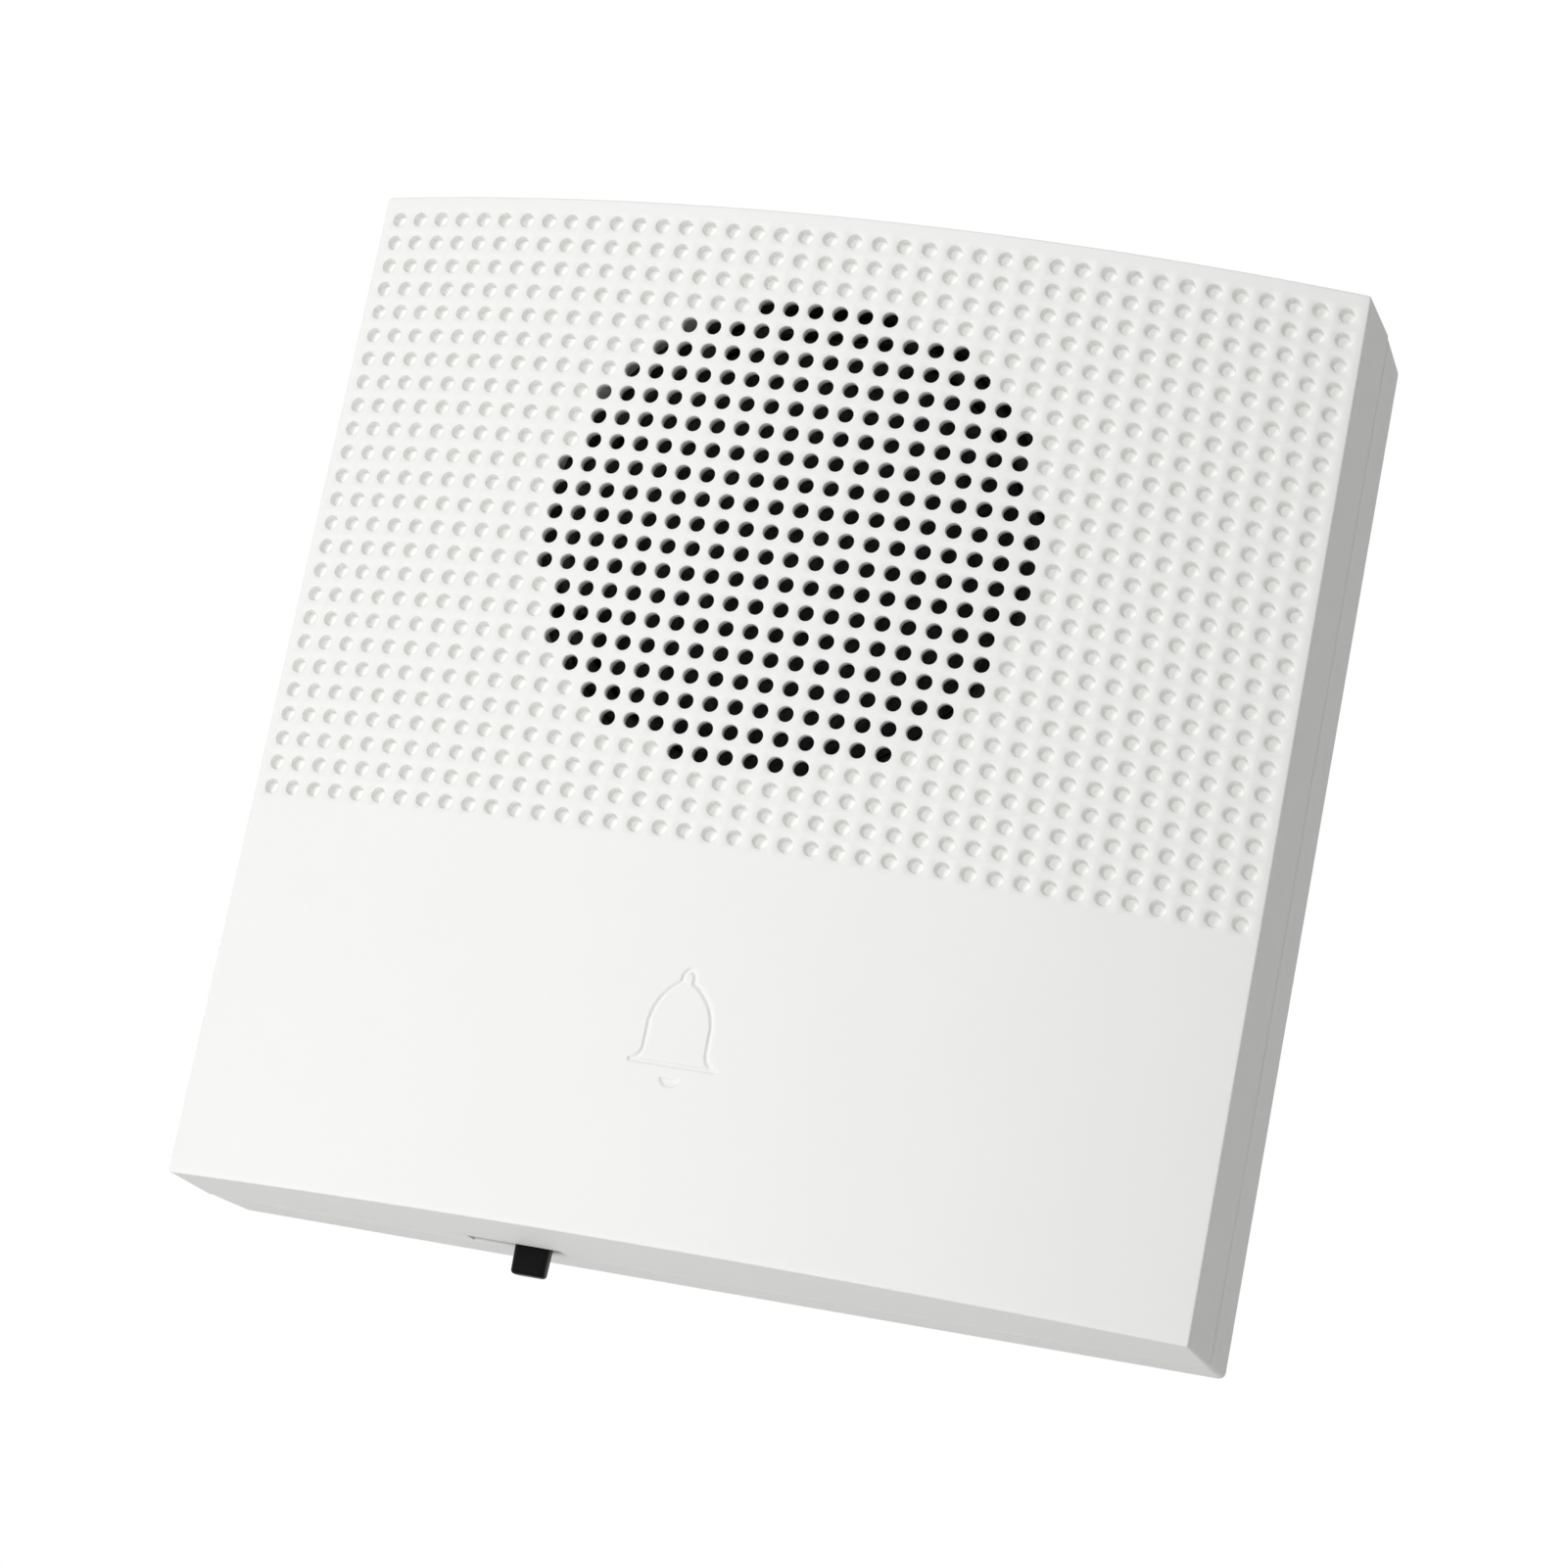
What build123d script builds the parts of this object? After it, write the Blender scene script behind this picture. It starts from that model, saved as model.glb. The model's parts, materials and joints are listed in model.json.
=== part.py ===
from build123d import *
import math
import os

# Doorbell chime box for a wall, in millimetres, with +Z up.
# The origin is the centre of the wall face. The wall is on the +Y side and the front looks to -Y.
# A depth is a distance in front of the wall plane, so a point at a depth has Y = -depth.

# Box
body_width = 93.8
body_height = 94.2
body_depth = 26.9
front_radius = 162.0
corner_radius = 0.6
cover_corner_radius = 0.3
inner_corner_radius = 0.6
cover_lean = 0.35
front_edge_radius = 0.22
back_edge_radius = 0.4
side_wall = 2.0
front_wall = 1.5
back_wall = 2.0
seam_depth = 9.0
seam_gap = 0.35
seam_round = 0.3
cover_seam_round = 0.25
overrun = 1.0

# Lip of the back cover, which the front cover slides over
lip_wall = 1.2
lip_clearance = 0.15
lip_rise = 3.0
lip_root = 3.0
grip_play = 0.03
grip_width = 3.0
grip_place_share = 0.32

# Dots of the front face
dot_pitch = 2.3
dot_diameter = 1.44
dot_columns = 40
dot_rows = 25
dot_depth = 0.7
grille_above_centre = 16.9
open_dots_from_middle_row = (20, 20, 20, 18, 18, 18, 16, 14, 12, 6)

# Bell sign below the dots
bell_centre_x = -0.25
bell_bottom_z = -31.1
bell_height = 8.4
bell_half_width = 3.9
bell_line = 0.35
bell_depth = 0.2
bell_knob_shares = ((0.0, 1.0), (0.12, 0.945), (0.13, 0.865))
bell_shoulder_shares = ((0.13, 0.865), (0.56, 0.66), (0.72, 0.33))
bell_skirt_shares = ((0.73, 0.14), (0.82, 0.05), (1.0, 0.0))
clapper_width = 1.8
clapper_height = 0.75
clapper_drop = 1.2

# Rib of the front cover that lands on the speaker's gasket
landing_inner_radius = 23.6
landing_wall = 1.4
landing_gap = 0.2

# Slide switch and its notch in the rear edge of the front cover
switch_centre_x = -16.15
notch_length = 8.9
notch_rise = 2.5
relief_width = 1.2
relief_depth = 2.4
relief_skin = 0.7
lever_width = 3.5
lever_taper = 0.15
lever_thickness = 2.1
lever_tip_radius = 0.35
lever_edge_radius = 0.65
lever_proud = 2.45
lever_over_seam = 0.2
lever_travel = 3.0
can_length = 10.4
can_reach = 5.4
can_rise = 4.2
can_sheet = 0.4
can_lip_gap = 0.35
can_tab_width = 1.6
slider_length = 5.8
slider_play = 0.1
switch_base_thickness = 0.8
switch_pin_width = 0.8
switch_pin_sheet = 0.4
switch_pin_pitch = 2.5
switch_contact_sheet = 0.2
switch_contact_width = 1.4
switch_contact_length = 4.4
contact_play = 0.03

# Circuit board and the screws that hold it
board_width = 62.0
board_height = 30.0
board_thickness = 1.6
board_front = 8.1
board_centre_x = -7.0
board_lip_gap = 0.55
board_corner_radius = 1.0
board_hole_radius = 1.3
board_hole_inset = 3.0
board_low_hole_from_right = 14.0
board_post_radius = 2.4
lead_hole_play = 0.1
lead_proud = 1.2
pilot_radius = 0.9
screw_radius = 0.88
board_screw_length = 5.4
board_screw_head_radius = 2.1
board_screw_head = 1.4
cross_width = 0.6
cross_depth = 0.7

# Terminal block with rising clamps
poles = 4
pole_pitch = 5.0
block_reach = 8.0
block_rise = 10.0
block_from_board_right = 1.5
block_above_board_bottom = 0.8
head_well_radius = 1.9
head_well_depth = 2.7
collar_thickness = 0.6
collar_radius = 1.35
cage_well_reach = 5.0
cage_well_width = 3.8
cage_well_floor = 0.8
cage_play = 0.1
cage_reach = 4.4
cage_height = 3.7
cage_floor = 0.7
cage_top = 0.9
cage_side = 0.6
cage_from_entry = 1.5
wire_entry_width = 2.8
clamp_screw_radius = 1.25
clamp_thread_play = 0.03
clamp_head_radius = 1.75
clamp_head_thickness = 1.4
clamp_slot_width = 0.55
clamp_slot_depth = 0.7
bar_thickness = 0.5
bar_width = 1.5
bar_floor_gap = 1.5
bar_pin_thickness = 0.8

# Small parts on the board, with their places as shares of the board from its low left corner
lead_radius = 0.28
supply_capacitor_radius = 4.0
supply_capacitor_height = 11.5
supply_capacitor_place_shares = (0.60, 0.34)
output_capacitor_radius = 3.15
output_capacitor_height = 9.0
output_capacitor_place_shares = (0.44, 0.62)
capacitor_lead_share = 0.4
capacitor_groove = 0.25
capacitor_groove_height = 1.2
capacitor_edge = 0.5
transistor_radius = 2.4
transistor_flat = 1.3
transistor_height = 4.6
transistor_stand = 3.0
transistor_lead_pitch = 1.27
transistor_place_shares = (0.55, 0.84)
chip_radius = 5.5
chip_rise = 1.5
chip_place_shares = (0.24, 0.58)
resistor_radius = 1.15
resistor_length = 6.2
resistor_span = 9.5
resistor_stand = 0.3
resistor_waist = 0.15
resistor_first_place_shares = (0.18, 0.335)
resistor_step = 2.8
resistor_count = 3
diode_radius = 1.35
diode_length = 5.2
diode_span = 10.0
diode_place_shares = (0.60, 0.10)
disc_radius = 2.6
disc_thickness = 1.9
disc_stand = 1.6
disc_lead_gap = 2.5
disc_place_shares = (0.36, 0.86)
disc_count = 2
disc_step = 6.0

# Plug and socket of the speaker leads
socket_width = 7.4
socket_height = 5.0
socket_rise = 4.6
socket_wall = 0.6
socket_floor = 1.2
plug_play = 0.1
plug_rise = 5.8
plug_pitch = 2.5
socket_pin_radius = 0.32
socket_place_shares = (0.745, 0.765)
lead_diameter = 1.1

# Speaker
speaker_radius = 25.0
rim_width = 2.6
rim_front = 20.6
basket_sheet = 0.45
basket_waist_radius = 17.0
shelf_depth = 12.6
shelf_inner_radius = 14.2
floor_depth = 9.4
floor_hole_radius = 7.0
basket_windows = 4
basket_window_width = 15.0
basket_window_margin = 1.4
ear_circle_radius = 28.0
ear_radius = 3.2
ear_hole_radius = 1.4
ear_angle = 45.0
post_radius = 2.9
speaker_screw_length = 8.0
speaker_screw_head_radius = 2.3
speaker_screw_head = 1.4
top_plate_radius = 13.6
top_plate_thickness = 1.5
gap_outer_radius = 6.8
magnet_inner_radius = 8.0
magnet_outer_radius = 15.5
magnet_thickness = 3.3
yoke_radius = 14.5
yoke_thickness = 1.2
pole_radius = 5.6
pole_over_plate = 0.25
former_inner_radius = 5.9
former_wall = 0.2
former_rear = 6.5
former_front = 14.8
winding_thickness = 0.4
winding_height = 2.6
cone_sheet = 0.35
cone_neck_depth = 14.4
cone_edge_depth = 20.3
cone_edge_radius = 20.4
cone_neck_gap = 0.05
cap_radius = 7.4
cap_rise = 2.6
soft_gap = 0.3
surround_sheet = 0.3
spider_sheet = 0.25
spider_wave = 0.4
spider_folds = 4
gasket_width = 2.0
gasket_thickness = 1.1
strip_width = 16.0
strip_height = 6.0
strip_thickness = 0.8
strip_from_basket = 0.6
lug_spacing = 9.0
lug_width = 2.4
lug_sheet = 0.3
lug_length = 2.6
lug_tab_rise = 1.5

# Wall fixing and cable entry of the back cover
keyhole_spacing = 60.0
keyhole_z = 22.0
keyhole_head_radius = 4.0
keyhole_slot_radius = 2.25
keyhole_rise = 6.0
cable_window_width = 12.0
cable_window_height = 16.0
cable_window_corner = 2.0
cable_window_from_block = 4.5

# Places that follow from the sizes above
half_face = body_width / 2 - cover_lean
side_depth = body_depth - (front_radius - math.sqrt(front_radius**2 - half_face**2))
cover_rear = seam_depth + seam_gap
lean_rate = cover_lean / (side_depth - cover_rear)
bottom_z = -body_height / 2
notch_left = switch_centre_x - notch_length / 2
notch_right = switch_centre_x + notch_length / 2
lip_front = seam_depth + lip_rise
lip_outset = side_wall + lip_clearance + lean_rate * (lip_front - cover_rear)
lip_inset = lip_outset + lip_wall
board_back = board_front - board_thickness
board_left = board_centre_x - board_width / 2
board_right = board_centre_x + board_width / 2
board_bottom = bottom_z + lip_inset + board_lip_gap
board_top = board_bottom + board_height
lever_rear = seam_depth + lever_over_seam
lever_front = lever_rear + lever_thickness
lever_middle = (lever_rear + lever_front) / 2
lever_rest_x = switch_centre_x + lever_travel / 2
can_bottom = bottom_z + lip_inset + can_lip_gap
can_top = can_bottom + can_reach
can_front = board_front + can_rise
block_right = board_right - block_from_board_right
block_left = block_right - block_reach
block_low = board_bottom + block_above_board_bottom
block_front = board_front + block_rise
cage_right = block_right - cage_from_entry
cage_low = board_front + cage_well_floor + cage_play
bar_low = cage_low + cage_floor + bar_floor_gap
bar_front = bar_low + bar_thickness
collar_front = block_front - head_well_depth
rim_inner_radius = speaker_radius - rim_width
rim_back = rim_front - basket_sheet
gasket_rear = rim_front + surround_sheet
gasket_front = gasket_rear + gasket_thickness
speaker_z = grille_above_centre
plate_front = floor_depth - basket_sheet
plate_rear = plate_front - top_plate_thickness
magnet_rear = plate_rear - magnet_thickness
former_outer_radius = former_inner_radius + former_wall
winding_outer_radius = former_outer_radius + winding_thickness
ear_places = [
    (
        ear_circle_radius * math.cos(math.radians(ear_angle + turn)),
        speaker_z + ear_circle_radius * math.sin(math.radians(ear_angle + turn)),
    )
    for turn in (0, 90, 180, 270)
]
strip_top = speaker_z - rim_inner_radius - strip_from_basket
strip_bottom = strip_top - strip_height
lug_low = strip_bottom
lug_top = lug_low + lug_length
lug_front = rim_back + lug_sheet
board_hole_places = [
    (board_left + board_hole_inset, board_bottom + board_hole_inset),
    (board_left + board_hole_inset, board_top - board_hole_inset),
    (board_right - board_hole_inset, board_top - board_hole_inset),
    (board_right - board_low_hole_from_right, board_bottom + board_hole_inset),
]


def board_place(shares, step_x=0.0, step_z=0.0):
    """A place on the board from its shares, moved along by whole steps."""
    return board_left + shares[0] * board_width + step_x, board_bottom + shares[1] * board_height + step_z


socket_x, socket_z = board_place(socket_place_shares)


# Plain shapes
def plane_at(depth):
    """The plane at a depth, seen from the front: its x runs along X and its y along Z."""
    return Plane((0, -depth, 0), x_dir=(1, 0, 0), z_dir=(0, -1, 0))


def between(sketch, low, high):
    """A flat outline pushed forwards from one depth to another."""
    return extrude(plane_at(low) * sketch, high - low)


def disc(x, z, low, high, radius):
    return between(Pos(x, z) * Circle(radius), low, high)


def ring(x, z, low, high, inner, outer):
    return between(Pos(x, z) * (Circle(outer) - Circle(inner)), low, high)


def slab(x_low, x_high, z_low, z_high, low, high):
    """A block from its two limits along each direction."""
    outline = Pos((x_low + x_high) / 2, (z_low + z_high) / 2) * Rectangle(x_high - x_low, z_high - z_low)
    return between(outline, low, high)


def lying_rod(x, z, depth, length, radius):
    """A rod along X with its middle at the given place."""
    return Pos(x, -depth, z) * Rot(0, 90, 0) * Cylinder(radius, length)


def turned(profile):
    """A profile of radius and depth, turned round the speaker's axis."""
    half_plane = Plane((0, 0, speaker_z), x_dir=(1, 0, 0), z_dir=(0, 0, -1))
    return revolve(half_plane * profile, Axis((0, 0, speaker_z), (0, 1, 0)))


def filled(points):
    return make_face(Polyline(*points, close=True))


def pressed(points, out, back):
    """The section of a bent sheet: a line, and its copy moved outwards and backwards."""
    moved = [(radius + out, depth - back) for radius, depth in reversed(points)]
    return filled(list(points) + moved)


def joined(pieces):
    """Separate or touching solids as one piece."""
    whole = pieces[0]
    for piece in pieces[1:]:
        whole += piece
    return whole


# Front cover
def front_at(x):
    """The depth of the curved front above a place across the width."""
    return body_depth - (front_radius - math.sqrt(front_radius**2 - x**2))


def box_section(depth, inset, radius):
    """The rounded outline of the front cover at a depth, drawn in from its outside."""
    lean = lean_rate * (depth - cover_rear)
    outline = RectangleRounded(
        body_width - 2 * (inset + lean), body_height - 2 * (inset + lean), radius
    )
    return plane_at(depth) * outline


def barrel(radius):
    """The round bar whose front is the curved face, or that face moved inwards."""
    return Pos(0, front_radius - body_depth, 0) * Cylinder(radius, body_height + 2 * overrun)


def leaning_box(low, inset, radius):
    high = body_depth + overrun
    return loft([box_section(low, inset, radius), box_section(high, inset, radius)], ruled=True)


def grille_cutters():
    """One cutter a dot: through the wall near the middle of the speaker, and blind elsewhere."""
    cutters = []
    for row in range(dot_rows):
        rows_off = abs(row - (dot_rows - 1) // 2)
        open_dots = open_dots_from_middle_row[rows_off] if rows_off < len(open_dots_from_middle_row) else 0
        z = grille_above_centre + (row - (dot_rows - 1) / 2) * dot_pitch
        for column in range(dot_columns):
            x = (column - (dot_columns - 1) / 2) * dot_pitch
            is_open = abs(x) < open_dots * dot_pitch / 2
            depth = front_wall + overrun if is_open else dot_depth
            cutters.append(disc(x, z, front_at(x) - depth, body_depth + overrun, dot_diameter / 2))
    return cutters


def bell_points(shares, side):
    return [
        (bell_centre_x + side * across * bell_half_width, bell_bottom_z + up * bell_height)
        for across, up in shares
    ]


def bell_half(side):
    """One side of the bell's outline, from the knob down to the end of the skirt."""
    knob = bell_points(bell_knob_shares, side)
    shoulder = bell_points(bell_shoulder_shares, side)
    skirt = bell_points(bell_skirt_shares, side)
    return [
        ThreePointArc(*knob),
        ThreePointArc(*shoulder),
        Line(shoulder[-1], skirt[0]),
        ThreePointArc(*skirt),
    ]


def bell_cutter():
    """The groove of the bell sign and the half moon of its clapper, cut to one depth in the curve."""
    low_left = bell_points(bell_skirt_shares, -1)[-1]
    low_right = bell_points(bell_skirt_shares, 1)[-1]
    outline = make_face(bell_half(-1) + bell_half(1) + [Line(low_left, low_right)])
    groove = offset(outline, bell_line / 2) - offset(outline, -bell_line / 2)
    moon_top = bell_bottom_z - clapper_drop
    left_end = (bell_centre_x - clapper_width / 2, moon_top)
    right_end = (bell_centre_x + clapper_width / 2, moon_top)
    moon_bottom = (bell_centre_x, moon_top - clapper_height)
    moon = make_face([ThreePointArc(left_end, moon_bottom, right_end), Line(right_end, left_end)])
    cutters = between(groove, side_depth, body_depth + overrun)
    cutters += between(moon, side_depth, body_depth + overrun)
    return cutters - barrel(front_radius - bell_depth)


def front_cover():
    outside = leaning_box(cover_rear, 0, cover_corner_radius) & barrel(front_radius)
    outside = fillet(outside.faces().sort_by(Axis.Y)[0].edges(), front_edge_radius)
    outside = fillet(outside.faces().sort_by(Axis.Y)[-1].edges(), cover_seam_round)
    inside = leaning_box(cover_rear - overrun, side_wall, inner_corner_radius)
    inside &= barrel(front_radius - front_wall)
    landing = ring(
        0, speaker_z, gasket_front + landing_gap, body_depth,
        landing_inner_radius, landing_inner_radius + landing_wall,
    )
    landing &= barrel(front_radius - front_wall / 2)
    notch = slab(
        notch_left, notch_right, bottom_z - overrun, bottom_z + side_wall + overrun,
        cover_rear - overrun, cover_rear + notch_rise,
    )
    return outside - inside + landing - notch - bell_cutter() - grille_cutters()


# Back cover
def keyhole(x):
    outline = Pos(x, keyhole_z) * Circle(keyhole_head_radius)
    outline += Pos(x, keyhole_z + keyhole_rise) * Circle(keyhole_slot_radius)
    outline += Pos(x, keyhole_z + keyhole_rise / 2) * Rectangle(2 * keyhole_slot_radius, keyhole_rise)
    return between(outline, -overrun, back_wall + overrun)


def rounded_ring(low, high, outset, inset, radius_out, radius_in):
    """A rectangular ring between two distances in from the outside of the box."""
    outline = RectangleRounded(body_width - 2 * outset, body_height - 2 * outset, radius_out)
    outline -= RectangleRounded(body_width - 2 * inset, body_height - 2 * inset, radius_in)
    return between(outline, low, high)


def grips():
    """Low ribs on the outside of the lip, which the front cover rubs on as it slides off."""
    pads = []
    out = lip_clearance - grip_play
    for place in (-grip_place_share, grip_place_share):
        for side in (-1, 1):
            face_x = side * (body_width / 2 - lip_outset)
            face_z = side * (body_height / 2 - lip_outset)
            along_z = place * body_height
            along_x = place * body_width
            x_low, x_high = sorted((face_x - side * lip_wall / 2, face_x + side * out))
            z_low, z_high = sorted((face_z - side * lip_wall / 2, face_z + side * out))
            half = grip_width / 2
            pads.append(slab(x_low, x_high, along_z - half, along_z + half, cover_rear, lip_front))
            pads.append(slab(along_x - half, along_x + half, z_low, z_high, cover_rear, lip_front))
    return pads


def back_cover():
    plate = between(RectangleRounded(body_width, body_height, corner_radius), 0, seam_depth)
    plate = fillet(plate.faces().sort_by(Axis.Y)[-1].edges(), back_edge_radius)
    plate = fillet(plate.faces().sort_by(Axis.Y)[0].edges(), seam_round)
    hollow = RectangleRounded(
        body_width - 2 * side_wall, body_height - 2 * side_wall, inner_corner_radius
    )
    shell = plate - between(hollow, back_wall, seam_depth + overrun)
    lip_back = seam_depth - lip_root
    shell += rounded_ring(
        lip_back, seam_depth, side_wall, lip_inset, inner_corner_radius, inner_corner_radius
    )
    shell += rounded_ring(
        lip_back, lip_front, lip_outset, lip_inset, inner_corner_radius, inner_corner_radius
    )
    shell += grips()
    for x, z in board_hole_places:
        shell += disc(x, z, back_wall, board_back, board_post_radius)
        shell -= disc(x, z, back_wall, board_back, pilot_radius)
    for x, z in ear_places:
        shell += disc(x, z, back_wall, rim_back, post_radius)
        shell -= disc(x, z, rim_back - speaker_screw_length, rim_back, pilot_radius)
    shell -= slab(
        notch_left, notch_right, bottom_z + side_wall, bottom_z + lip_inset + can_lip_gap,
        seam_depth, lip_front + overrun,
    )
    for left in (notch_left, notch_right - relief_width):
        shell -= slab(
            left, left + relief_width, bottom_z + relief_skin, bottom_z + lip_inset + can_lip_gap,
            seam_depth - relief_depth, lip_front + overrun,
        )
    window_x = block_right + cable_window_from_block + cable_window_width / 2
    window_z = block_low + poles * pole_pitch / 2
    window = Pos(window_x, window_z) * RectangleRounded(
        cable_window_width, cable_window_height, cable_window_corner
    )
    shell -= between(window, -overrun, back_wall + overrun)
    for side in (-1, 1):
        shell -= keyhole(side * keyhole_spacing / 2)
    return shell


# Circuit board
def leads_down(places, low=board_back - lead_proud, high=board_front, radius=lead_radius):
    """Round legs that stand through the board."""
    return [disc(x, z, low, high, radius) for x, z in places]


def capacitor_leads(shares, radius):
    x, z = board_place(shares)
    gap = capacitor_lead_share * radius
    return [(x - gap, z), (x + gap, z)]


def transistor_leads():
    x, z = board_place(transistor_place_shares)
    return [(x + step * transistor_lead_pitch, z) for step in (-1, 0, 1)]


def resistor_leads(number):
    x, z = board_place(resistor_first_place_shares, step_z=-number * resistor_step)
    return [(x - resistor_span / 2, z), (x + resistor_span / 2, z)]


def diode_leads():
    x, z = board_place(diode_place_shares)
    return [(x - diode_span / 2, z), (x + diode_span / 2, z)]


def disc_leads(number):
    x, z = board_place(disc_place_shares, step_x=-number * disc_step)
    return [(x - disc_lead_gap / 2, z), (x + disc_lead_gap / 2, z)]


def socket_pins():
    return [(socket_x - plug_pitch / 2, socket_z), (socket_x + plug_pitch / 2, socket_z)]


def switch_pins():
    middle = (can_bottom + can_top) / 2
    return [(switch_centre_x + step * switch_pin_pitch, middle) for step in (-1, 0, 1)]


def pole_z(number):
    return block_low + (number + 0.5) * pole_pitch


def circuit_board():
    outline = Pos((board_left + board_right) / 2, (board_bottom + board_top) / 2) * RectangleRounded(
        board_width, board_height, board_corner_radius
    )
    for x, z in board_hole_places:
        outline -= Pos(x, z) * Circle(board_hole_radius)
    places = capacitor_leads(supply_capacitor_place_shares, supply_capacitor_radius)
    places += capacitor_leads(output_capacitor_place_shares, output_capacitor_radius)
    places += transistor_leads() + diode_leads()
    for number in range(resistor_count):
        places += resistor_leads(number)
    for number in range(disc_count):
        places += disc_leads(number)
    for x, z in places:
        outline -= Pos(x, z) * Circle(lead_radius + lead_hole_play)
    for x, z in socket_pins():
        outline -= Pos(x, z) * Circle(socket_pin_radius + lead_hole_play)
    pin_hole = 2 * lead_hole_play
    for x, z in switch_pins():
        outline -= Pos(x, z) * Rectangle(switch_pin_sheet + pin_hole, switch_pin_width + pin_hole)
    for side in (-1, 1):
        tab_x = switch_centre_x + side * (can_length - can_sheet) / 2
        tab_z = (can_bottom + can_top) / 2
        outline -= Pos(tab_x, tab_z) * Rectangle(can_sheet + pin_hole, can_tab_width + pin_hole)
    for number in range(poles):
        pin_x = block_left + bar_pin_thickness
        outline -= Pos(pin_x, pole_z(number)) * Rectangle(bar_pin_thickness + pin_hole, bar_width + pin_hole)
    return between(outline, board_back, board_front)


def cross_screw(x, z, seat, length, head_radius, head):
    """A pan-head screw with a cross recess, its head seated at a depth and its shank going back."""
    screw = disc(x, z, seat - length, seat, screw_radius)
    cap = disc(x, z, seat, seat + head, head_radius)
    screw += fillet(cap.faces().sort_by(Axis.Y)[0].edges(), head / 2)
    reach = head_radius / 2
    top = seat + head
    screw -= slab(x - reach, x + reach, z - cross_width / 2, z + cross_width / 2, top - cross_depth, top)
    screw -= slab(x - cross_width / 2, x + cross_width / 2, z - reach, z + reach, top - cross_depth, top)
    return screw


def board_screws():
    return [
        cross_screw(x, z, board_front, board_screw_length, board_screw_head_radius, board_screw_head)
        for x, z in board_hole_places
    ]


# Slide switch
def switch_frame():
    """The bent steel can over the switch, with a slot below for the lever and a tab at each end."""
    left = switch_centre_x - can_length / 2
    right = switch_centre_x + can_length / 2
    can = slab(left, right, can_bottom, can_top, board_front, can_front)
    can -= slab(
        left + can_sheet, right - can_sheet, can_bottom + can_sheet, can_top - can_sheet,
        board_front, can_front - can_sheet,
    )
    half_slot = (lever_travel + lever_width) / 2 + slider_play
    can -= slab(
        switch_centre_x - half_slot, switch_centre_x + half_slot, can_bottom - overrun,
        can_bottom + can_sheet, lever_rear - slider_play, lever_front + slider_play,
    )
    middle = (can_bottom + can_top) / 2
    for tab_left in (left, right - can_sheet):
        can += slab(
            tab_left, tab_left + can_sheet, middle - can_tab_width / 2, middle + can_tab_width / 2,
            board_back - lead_proud, board_front,
        )
    return can


def switch_base():
    left = switch_centre_x - can_length / 2 + can_sheet + slider_play
    right = switch_centre_x + can_length / 2 - can_sheet - slider_play
    low = can_bottom + can_sheet + slider_play
    high = can_top - can_sheet - slider_play
    base = slab(left, right, low, high, board_front, board_front + switch_base_thickness)
    for x, z in switch_pins():
        base -= between(
            Pos(x, z) * Rectangle(switch_pin_sheet, switch_pin_width),
            board_front, board_front + switch_base_thickness,
        )
    return base


def switch_terminals():
    return [
        between(
            Pos(x, z) * Rectangle(switch_pin_sheet, switch_pin_width),
            board_back - lead_proud, board_front + switch_base_thickness,
        )
        for x, z in switch_pins()
    ]


def switch_lever():
    """The slider inside the can and the tapered lever that stands out below the box."""
    rear = board_front + switch_base_thickness + switch_contact_sheet + 2 * contact_play
    slider = slab(
        lever_rest_x - slider_length / 2, lever_rest_x + slider_length / 2,
        can_bottom + can_sheet + slider_play, can_top - can_sheet - slider_play,
        rear, can_front - can_sheet - slider_play,
    )
    root = Plane((lever_rest_x, -lever_middle, can_bottom + can_sheet + slider_play), z_dir=(0, 0, -1))
    length = can_bottom + can_sheet + slider_play - bottom_z + lever_proud
    tip = root.offset(length)
    lever = loft([
        root * RectangleRounded(lever_width, lever_thickness, lever_edge_radius),
        tip * RectangleRounded(
            lever_width - 2 * lever_taper, lever_thickness - 2 * lever_taper, lever_edge_radius
        ),
    ], ruled=True)
    lever = fillet(lever.faces().sort_by(Axis.Z)[0].edges(), lever_tip_radius)
    return slider + lever


def switch_contact():
    middle = (can_bottom + can_top) / 2
    rear = board_front + switch_base_thickness + contact_play
    return slab(
        lever_rest_x - switch_contact_length / 2, lever_rest_x + switch_contact_length / 2,
        middle - switch_contact_width / 2, middle + switch_contact_width / 2,
        rear, rear + switch_contact_sheet,
    )


# Terminal block
def terminal_body():
    length = poles * pole_pitch
    body = slab(block_left, block_right, block_low, block_low + length, board_front, block_front)
    body = chamfer(body.faces().sort_by(Axis.Y)[0].edges().filter_by(Axis.Z), head_well_depth / 4)
    well_right = cage_right + cage_play
    well_left = well_right - cage_well_reach
    for number in range(poles):
        z = pole_z(number)
        screw_x = cage_right - cage_reach / 2
        body -= disc(screw_x, z, collar_front, block_front + overrun, head_well_radius)
        body -= disc(screw_x, z, board_front + cage_well_floor, block_front, collar_radius)
        body -= slab(
            well_left, well_right, z - cage_well_width / 2, z + cage_well_width / 2,
            board_front + cage_well_floor, collar_front - collar_thickness,
        )
        body -= slab(
            well_right - overrun, block_right + overrun,
            z - wire_entry_width / 2, z + wire_entry_width / 2, cage_low + cage_floor, bar_low,
        )
        half_bar = bar_width / 2 + cage_play
        pin_left = block_left + bar_pin_thickness / 2 - cage_play
        body -= slab(
            pin_left, well_left + overrun, z - half_bar, z + half_bar,
            bar_low - cage_play, bar_front + cage_play,
        )
        pin_right = block_left + bar_pin_thickness * 3 / 2 + cage_play
        body -= slab(pin_left, pin_right, z - half_bar, z + half_bar, board_front, bar_front)
    return body


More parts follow.
